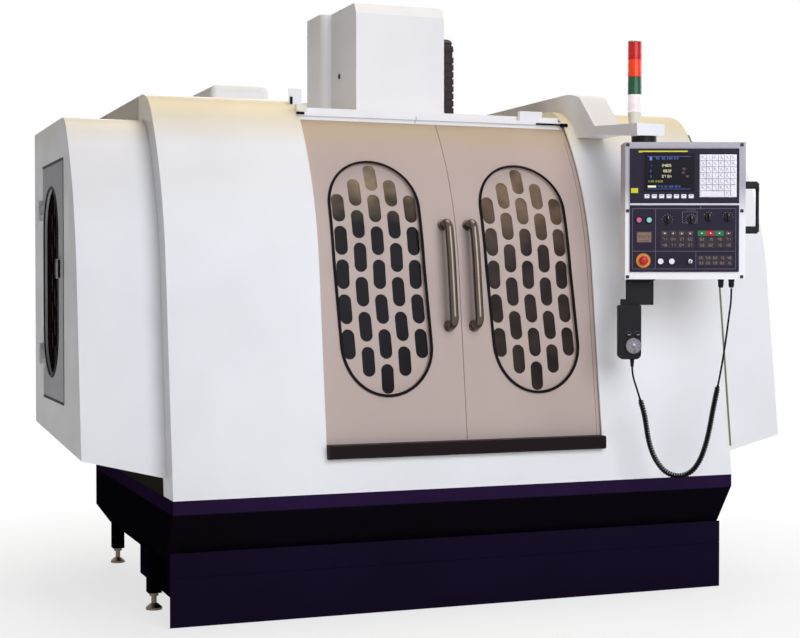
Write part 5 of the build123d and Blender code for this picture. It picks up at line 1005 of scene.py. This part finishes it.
class MACHINE_OT_controls(bpy.types.Operator):
    """Collar of the emergency stop, rings of the buttons, scales and pointers of the knobs, key bow"""
    bl_idname = "machine.controls"
    bl_label = "Buttons and knobs"

    def execute(self, context):
        bm = bmesh.new()
        add_lathe(bm, on_plate(*STOP), [(12.8, 0.2), (27, 0.2), (27, 3), (25.5, 4.7), (13.5, 4.7),
                                        (12.8, 4.2), (12.8, 0.2)], steps=48)
        new_piece("stop_collar", bm, "orange collar", "pendant")

        bm = bmesh.new()
        add_lathe(bm, on_plate(*STOP), [(0, 1), (12.3, 1), (12.3, 11.5), (15.4, 11.8), (16, 13.5), (15.8, 17),
                                        (14.3, 20), (10.5, 22.2), (5, 23.2), (0, 23.4)], steps=48)
        stop = new_piece("stop_mushroom", bm, "red acetal", "emergency_stop")
        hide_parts("emergency_stop")

        bm = bmesh.new()
        for place, radius in BUTTONS:
            add_lathe(bm, on_plate(*place), [(radius, 0.2), (radius + 3.2, 0.2), (radius + 3.2, 3.4),
                                             (radius + 2.4, 4.4), (radius, 4.4), (radius, 0.2)], steps=36)
        new_piece("button_rings", bm, "black nylon", "pendant")

        bm = bmesh.new()
        for name, (count, sweep) in KNOB_SCALES.items():
            for k in range(count):
                turn = math.radians(sweep * (k / (count - 1) - 0.5))
                add_tile(bm, round_dial(on_plate(*KNOBS[name]), turn, 18.5), 1.1, 3.5, 0.3)
        new_piece("knob_scales", bm, "pale print", "pendant")

        for name, (u, z) in KNOBS.items():
            bm = bmesh.new()
            add_lathe(bm, on_plate(u, z), [(13.4, 0.6), (14.8, 1.2), (14.8, 5.6), (13.2, 7.2), (13.4, 0.6)],
                      steps=48, ribs=0.04)
            add_block(bm, on_plate(u, z, 12.6), (8, 27, 11.6), bevel=2)
            add_tile(bm, on_plate(u, z + 7.5, 18.4), 1.4, 9, 0.3, index=1)
            new_piece(name + "_grip", bm, ["black nylon", "pale print"], name)

        bm = bmesh.new()
        add_lathe(bm, on_plate(*LOCK), [(0, 7.2), (6.5, 7.2), (8.2, 6.4), (8.4, 4.6)])
        bow = on_plate(*LOCK, 19) @ Matrix.Rotation(math.pi / 2, 4, "Y")
        add_lathe(bm, bow, [(4, -1.6), (8, -1.6), (8, 1.6), (4, 1.6), (4, -1.6)], steps=28)
        new_piece("key_bow", bm, "turned steel", "key_switch")
        return {"FINISHED"}


class MACHINE_OT_handwheel_unit(bpy.types.Operator):
    """Knurl and scale of the handwheel, its small knobs, ribbed relief, holder screws and glands"""
    bl_idname = "machine.handwheel_unit"
    bl_label = "Handwheel unit"

    def execute(self, context):
        dial = box_matrix(MPG_MIDDLE, MPG_FRONT, 962)
        bm = bmesh.new()
        add_lathe(bm, dial, [(27.5, 1), (29.3, 1.6), (29.3, 8), (27.5, 8.8), (27.5, 1)], steps=120,
                  ribs=0.025)
        for k in range(50):
            long = 3.6 if k % 5 else 5.5
            add_tile(bm, round_dial(dial, 2 * math.pi * k / 50, 26 - long / 2, 11), 0.7, long, 0.2, index=1)
        for k in (0, 1, 2, 3, 5, 6, 7, 8, 9):
            add_digit(bm, round_dial(dial, 2 * math.pi * k / 10, 17, 11), k, 2.6, 4.4, 0.8, 1)
        add_lathe(bm, dial, [(0, 12.6), (7, 12.6), (8.5, 11.8), (8.5, 11)])
        new_piece("handwheel_scale", bm, ["anodised aluminium", "black nylon"], "handwheel")

        bm = bmesh.new()
        for across in (-59, -26):
            place = box_matrix(across, MPG_FRONT, 1003)
            add_lathe(bm, place, [(8.4, 0.2), (8.4, 6), (7.6, 9.6), (0, 9.8)], ribs=0.07)
            add_tile(bm, round_dial(place, 0, 0, 9.7), 11, 2.2, 0.4, index=1)
            for k in range(5):
                add_tile(bm, round_dial(place, math.radians(30 * (k - 2)), 12), 1, 2.6, 0.3, index=1)
        new_piece("handwheel_knobs", bm, ["black nylon", "pale print"], "pendant")

        bm = bmesh.new()
        relief = [(8.5, 912.5), (8.5, 909)]
        for k in range(4):
            height = 908 - 6 * k
            reach = 8 - 0.55 * k
            relief += [(reach - 1, height), (reach - 1, height - 2.5), (reach, height - 3),
                       (reach, height - 5.5)]
        relief += [(5.8, 884.2), (3.6, 884)]
        add_lathe(bm, Matrix.Translation(box_point(MPG_MIDDLE, CORD_PLANE, 0)), relief, steps=28)
        new_piece("handwheel_relief", bm, "black rubber", "pendant")

        bm = bmesh.new()
        for across in (285, 324):
            place = Matrix.Translation(box_point(across, CORD_PLANE, 0))
            add_lathe(bm, place, [(0, 1206.8), (12.5, 1206.8), (12.5, 1200), (11.4, 1199), (0, 1199)],
                      steps=6)
            add_lathe(bm, place, [(10.4, 1196), (10.4, 1186), (9, 1180), (6, 1177), (3.6, 1176.2)],
                      steps=36, ribs=0.06)
        new_piece("gland_nuts", bm, "black nylon", "pendant")

        bm = bmesh.new()
        for across in (-50, 25):
            add_screw(bm, box_matrix(across, -9.9, 1195), 4, 2.4)
        for across in (-88, -21):
            for height in (922, 1102):
                add_screw(bm, box_matrix(across, MPG_FRONT - 0.2, height), 2.6, 1.2)
        new_piece("holder_screws", bm, "blackened screw steel", "pendant")
        return {"FINISHED"}


class MACHINE_OT_flank_grip(bpy.types.Operator):
    """Grab handle on the control box: a slim bar between two moulded feet"""
    bl_idname = "machine.flank_grip"
    bl_label = "Box grip"

    def execute(self, context):
        bm = bmesh.new()
        for height in (1556, 1390):
            add_block(bm, box_matrix(398, GRIP_OUT, height), (62, 27, 25), bevel=6)
            add_block(bm, box_matrix(369.5, GRIP_OUT, height), (5, 34, 36), bevel=2)
        bar = [(6, 1384), (7.2, 1402), (7.2, 1410), (6.2, 1414), (6.2, 1532), (7.2, 1536), (7.2, 1544),
               (6, 1562)]
        add_lathe(bm, Matrix.Translation(box_point(423.5, GRIP_OUT, 0)), bar, steps=24)
        grip = new_piece("flank_grip", bm, "black nylon", "pendant")
        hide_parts("grab_handle")
        return {"FINISHED"}


class MACHINE_OT_door_windows(bpy.types.Operator):
    """Sliding doors with their panes and gaskets, the slotted windows drawn out to their outline"""
    bl_idname = "machine.door_windows"
    bl_label = "Door windows"

    def execute(self, context):
        for side, hand in ((-1, "left"), (1, "right")):
            pane = "smoked polycarbonate" if side < 0 else "smoked polycarbonate, clouded"
            for part, material, slot in (("panel", "taupe powder coat", "door_taupe"),
                                         ("glass", pane, "glass"), ("gasket", "black rubber", "rubber")):
                node = "door_{}_{}".format(part, hand)
                mesh = NODES[node].data.copy()
                for vertex in mesh.vertices:
                    x, y, z = vertex.co / MM
                    along, depth = cowl_place(y - FRONT, z)
                    across, along = window_shift(x - side * WINDOW_X, along - WINDOW_MID)
                    y, z, _ = cowl_point(along + WINDOW_MID, depth)
                    vertex.co = spot(across + side * WINDOW_X, y, z)
                mesh.materials.clear()
                mesh.materials.append(finish(material))
                piece = bpy.data.objects.new("{}_door_{}".format(hand, part), mesh)
                context.scene.collection.objects.link(piece)
                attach(piece, hand + "_door")
                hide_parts(node)
        return {"FINISHED"}


class MACHINE_OT_door_fittings(bpy.types.Operator):
    """Flanges at the ends of the door handles, and a darker strip that paints the shade in the right door's
    fold
    """
    bl_idname = "machine.door_fittings"
    bl_label = "Door fittings"

    def execute(self, context):
        radius = context.scene.machine_fixing.flange / MM
        flange = [(16.2, 0.2), (radius, 0.2), (radius, 3.5), (radius - 1.5, 5.5), (17.5, 5.5), (16.2, 7),
                  (16.2, 0.2)]
        for side, hand in ((-1, "left"), (1, "right")):
            bm = bmesh.new()
            for along in HANDLE_ENDS:
                y, z, lean = cowl_point(along, DOOR_DEPTH)
                place = facing(side * HANDLE_X, y, z, (0, -math.cos(lean), math.sin(lean)))
                add_lathe(bm, place, flange, steps=40)
            new_piece(hand + "_handle_flanges", bm, "polished stainless tube", hand + "_door")

        bm = bmesh.new()
        # Painted shade: a darker strip stands for the shade along the fold.
        fold = ((-1.6, DOOR_DEPTH), (0, DOOR_DEPTH - 0.5), (1.6, DOOR_DEPTH))
        add_cowl_strip(bm, DOOR_JOINT, fold, -640, 550, 60)
        new_piece("right_door_joint", bm, "tan print", "right_door")
        return {"FINISHED"}


class MACHINE_OT_side_door(bpy.types.Operator):
    """Black latch and rubber ring of the wing's side door"""
    bl_idname = "machine.side_door"
    bl_label = "Side door fittings"

    def execute(self, context):
        bm = bmesh.new()
        add_square_block(bm, -1397.3, 561, 1245, (15.2, 34, 72), bevel=3)
        add_square_block(bm, -1404.3, 561, 1245, (1.6, 20, 46), bevel=0.7, index=1)
        new_piece("side_latch", bm, ["black nylon", "blackened screw steel"], "side_door")

        bm = bmesh.new()
        rings = []
        for grow, out in ((-1, -0.5), (1, 3.5), (9, 4), (12, 0.2), (12, -1.5)):
            ring = []
            for k in range(64):
                angle = 2 * math.pi * (k + 0.5) / 64
                reach = SIDE_WINDOW_R + grow
                end = math.copysign(SIDE_WINDOW_STRAIGHT, math.sin(angle))
                ring.append(bm.verts.new(spot(SIDE_FACE - out, SIDE_WINDOW[0] + reach * math.cos(angle),
                                              SIDE_WINDOW[1] + end + reach * math.sin(angle))))
            rings.append(ring)
        add_skin(bm, rings)
        new_piece("side_window_ring", bm, "black rubber", "side_door")
        return {"FINISHED"}


class MACHINE_OT_cowl_fixings(bpy.types.Operator):
    """Plugs of the head cover, screws of the rear wall and fittings of the door rail, with two black blocks
    that are painted shadows
    """
    bl_idname = "machine.cowl_fixings"
    bl_label = "Cowl fixings"

    def execute(self, context):
        head = context.scene.machine_fixing.screw / MM
        bm = bmesh.new()
        for side in (-1, 1):
            add_lathe(bm, facing(side * 190, 936, 2048, (side, 0, 0)),
                      [(11, 0), (11, 2), (9, 3.6), (0, 3.6)], steps=28)
            add_square_block(bm, side * 187, 930, 2317.4, (7, 26, 5), bevel=1)
        new_piece("head_plugs", bm, "black nylon", "head")

        bm = bmesh.new()
        places = [(x, z) for x in (-1070, -820, 820, 1070) for z in range(500, 1801, 260)]
        places += [(x, 1830) for x in (-480, -300, 300, 480)]
        for x, z in places:
            add_screw(bm, facing(x, BACK_WALL, z, (0, 1, 0)), head, 3)
        new_piece("rear_wall_screws", bm, "white push cap", "machine")

        bm = bmesh.new()
        cream, black, seam = range(3)
        # Painted shadows: the black block under the cream carriage block and the black block at the right
        # door's top corner.
        for x, y, z, size, bevel, index in (
                (-533, 362, 1844, (42, 10, 26), 1.5, cream), (-541, 346, 1823, (30, 6, 9), 1, black),
                (-567, 376.5, 1872, (10, 5, 28), 1, black), (480, 346, 1818, (112, 6, 7), 1.5, black),
                (546, 345, 1816, (34, 8, 16), 3, black)):
            add_square_block(bm, x, y, z, size, bevel, index)
        for y, z in ((348, 1821.5), (360, 1808)):
            add_tile(bm, facing(-80, y, z, (0, -1, 0)), 2, 12, 0.4, seam)
        new_piece("door_rail_fittings", bm, ["cream lamp foot", "black rubber", "dark print"], "machine")
        return {"FINISHED"}


class MACHINE_OT_edge_shade_strips(bpy.types.Operator):
    """Dark strips that paint shade on the right front panel's outer edge and round the side door"""
    bl_idname = "machine.edge_rubber"
    bl_label = "Edge rubber"

    def execute(self, context):
        wide = context.scene.machine_fixing.shade_strip_width / MM
        bm = bmesh.new()
        # Painted shade: an olive strip stands for the shadow at the panel's edge.
        section = ((0.1, 14), (0.1, 0), (wide * 0.6, -0.5), (wide, 2), (wide, 12))
        add_cowl_strip(bm, TRAY_HALF, section, -695, 600, 64)
        new_piece("right_edge_rubber", bm, "olive edge rubber", "machine")

        bm = bmesh.new()
        # Painted shadow: black strips stand for the shadow line round the side door.
        for y, z, deep, tall in ((743, 1642, 514, 9), (486, 1198, 9, 878), (743, 754, 514, 9)):
            add_square_block(bm, SIDE_FACE - 0.4, y, z, (1.6, deep, tall), bevel=0.7)
        new_piece("side_door_seal", bm, "black rubber", "machine")
        return {"FINISHED"}


class MACHINE_OT_cabinet(bpy.types.Operator):
    """Latches and louvre hoods of the electrical cabinet's door"""
    bl_idname = "machine.cabinet"
    bl_label = "Electrical cabinet"

    def execute(self, context):
        bm = bmesh.new()
        for z in (800, 1590):
            place = facing(295, CABINET_BACK, z, (0, 1, 0))
            add_lathe(bm, place, [(17, 0.2), (17, 2.8), (15.8, 3.8), (6, 3.8), (5.6, 2), (0, 2)], steps=36)
            add_block(bm, place @ Matrix.Translation((0, 0, 2.6 * MM)), (2.4, 10, 1.2))
        new_piece("cabinet_latches", bm, "black nylon", "cabinet_door")

        bm = bmesh.new()
        ends = [LOUVRE_X + LOUVRE_HALF * end for end in (-1, 1)]
        for k in range(LOUVRES):
            z = LOUVRE_Z + LOUVRE_PITCH * (k - (LOUVRES - 1) / 2)
            rim = [[bm.verts.new(spot(x, CABINET_BACK + out, z + rise)) for x in ends]
                   for out, rise in ((0, 6.7), (2.4, 6.1), (3.6, 3.7), (3.9, 0))]
            add_skin(bm, rim, closed=False)
            for end, x in enumerate(ends):
                foot = bm.verts.new(spot(x, CABINET_BACK, z))
                bm.faces.new([pair[end] for pair in rim] + [foot])
        new_piece("louvre_hoods", bm, "white powder coat", "cabinet_door")
        return {"FINISHED"}


OPERATORS = [
    MACHINE_OT_stage, MACHINE_OT_finishes, MACHINE_OT_cord, MACHINE_OT_signal_tower, MACHINE_OT_box_front,
    MACHINE_OT_screen_picture, MACHINE_OT_keys, MACHINE_OT_controls, MACHINE_OT_handwheel_unit,
    MACHINE_OT_flank_grip, MACHINE_OT_door_windows, MACHINE_OT_door_fittings, MACHINE_OT_side_door,
    MACHINE_OT_cowl_fixings, MACHINE_OT_edge_shade_strips, MACHINE_OT_cabinet]

GROUPS = {"machine_stage": StageSettings, "machine_finish": FinishSettings,
          "machine_cord": CordSettings, "machine_tower": TowerSettings, "machine_box": BoxSettings,
          "machine_fixing": FixingSettings}


class MACHINE_PT_panel(bpy.types.Panel):
    bl_label = "Machining Center"
    bl_idname = "MACHINE_PT_panel"
    bl_space_type = "VIEW_3D"
    bl_region_type = "UI"
    bl_category = "Machining Center"

    def draw(self, context):
        for operator in OPERATORS:
            self.layout.operator(operator.bl_idname)
        for name in GROUPS:
            settings = getattr(context.scene, name)
            column = self.layout.column(align=True)
            for key in settings.__annotations__:
                column.prop(settings, key)


def register():
    for cls in [*GROUPS.values(), *OPERATORS, MACHINE_PT_panel]:
        bpy.utils.register_class(cls)
    for name, group in GROUPS.items():
        setattr(bpy.types.Scene, name, PointerProperty(type=group))


def unregister():
    for name in GROUPS:
        delattr(bpy.types.Scene, name)
    for cls in reversed([*GROUPS.values(), *OPERATORS, MACHINE_PT_panel]):
        bpy.utils.unregister_class(cls)


def main():
    register()
    for operator in OPERATORS:
        group, name = operator.bl_idname.split(".")
        getattr(getattr(bpy.ops, group), name)()


if __name__ == "__main__":
    main()
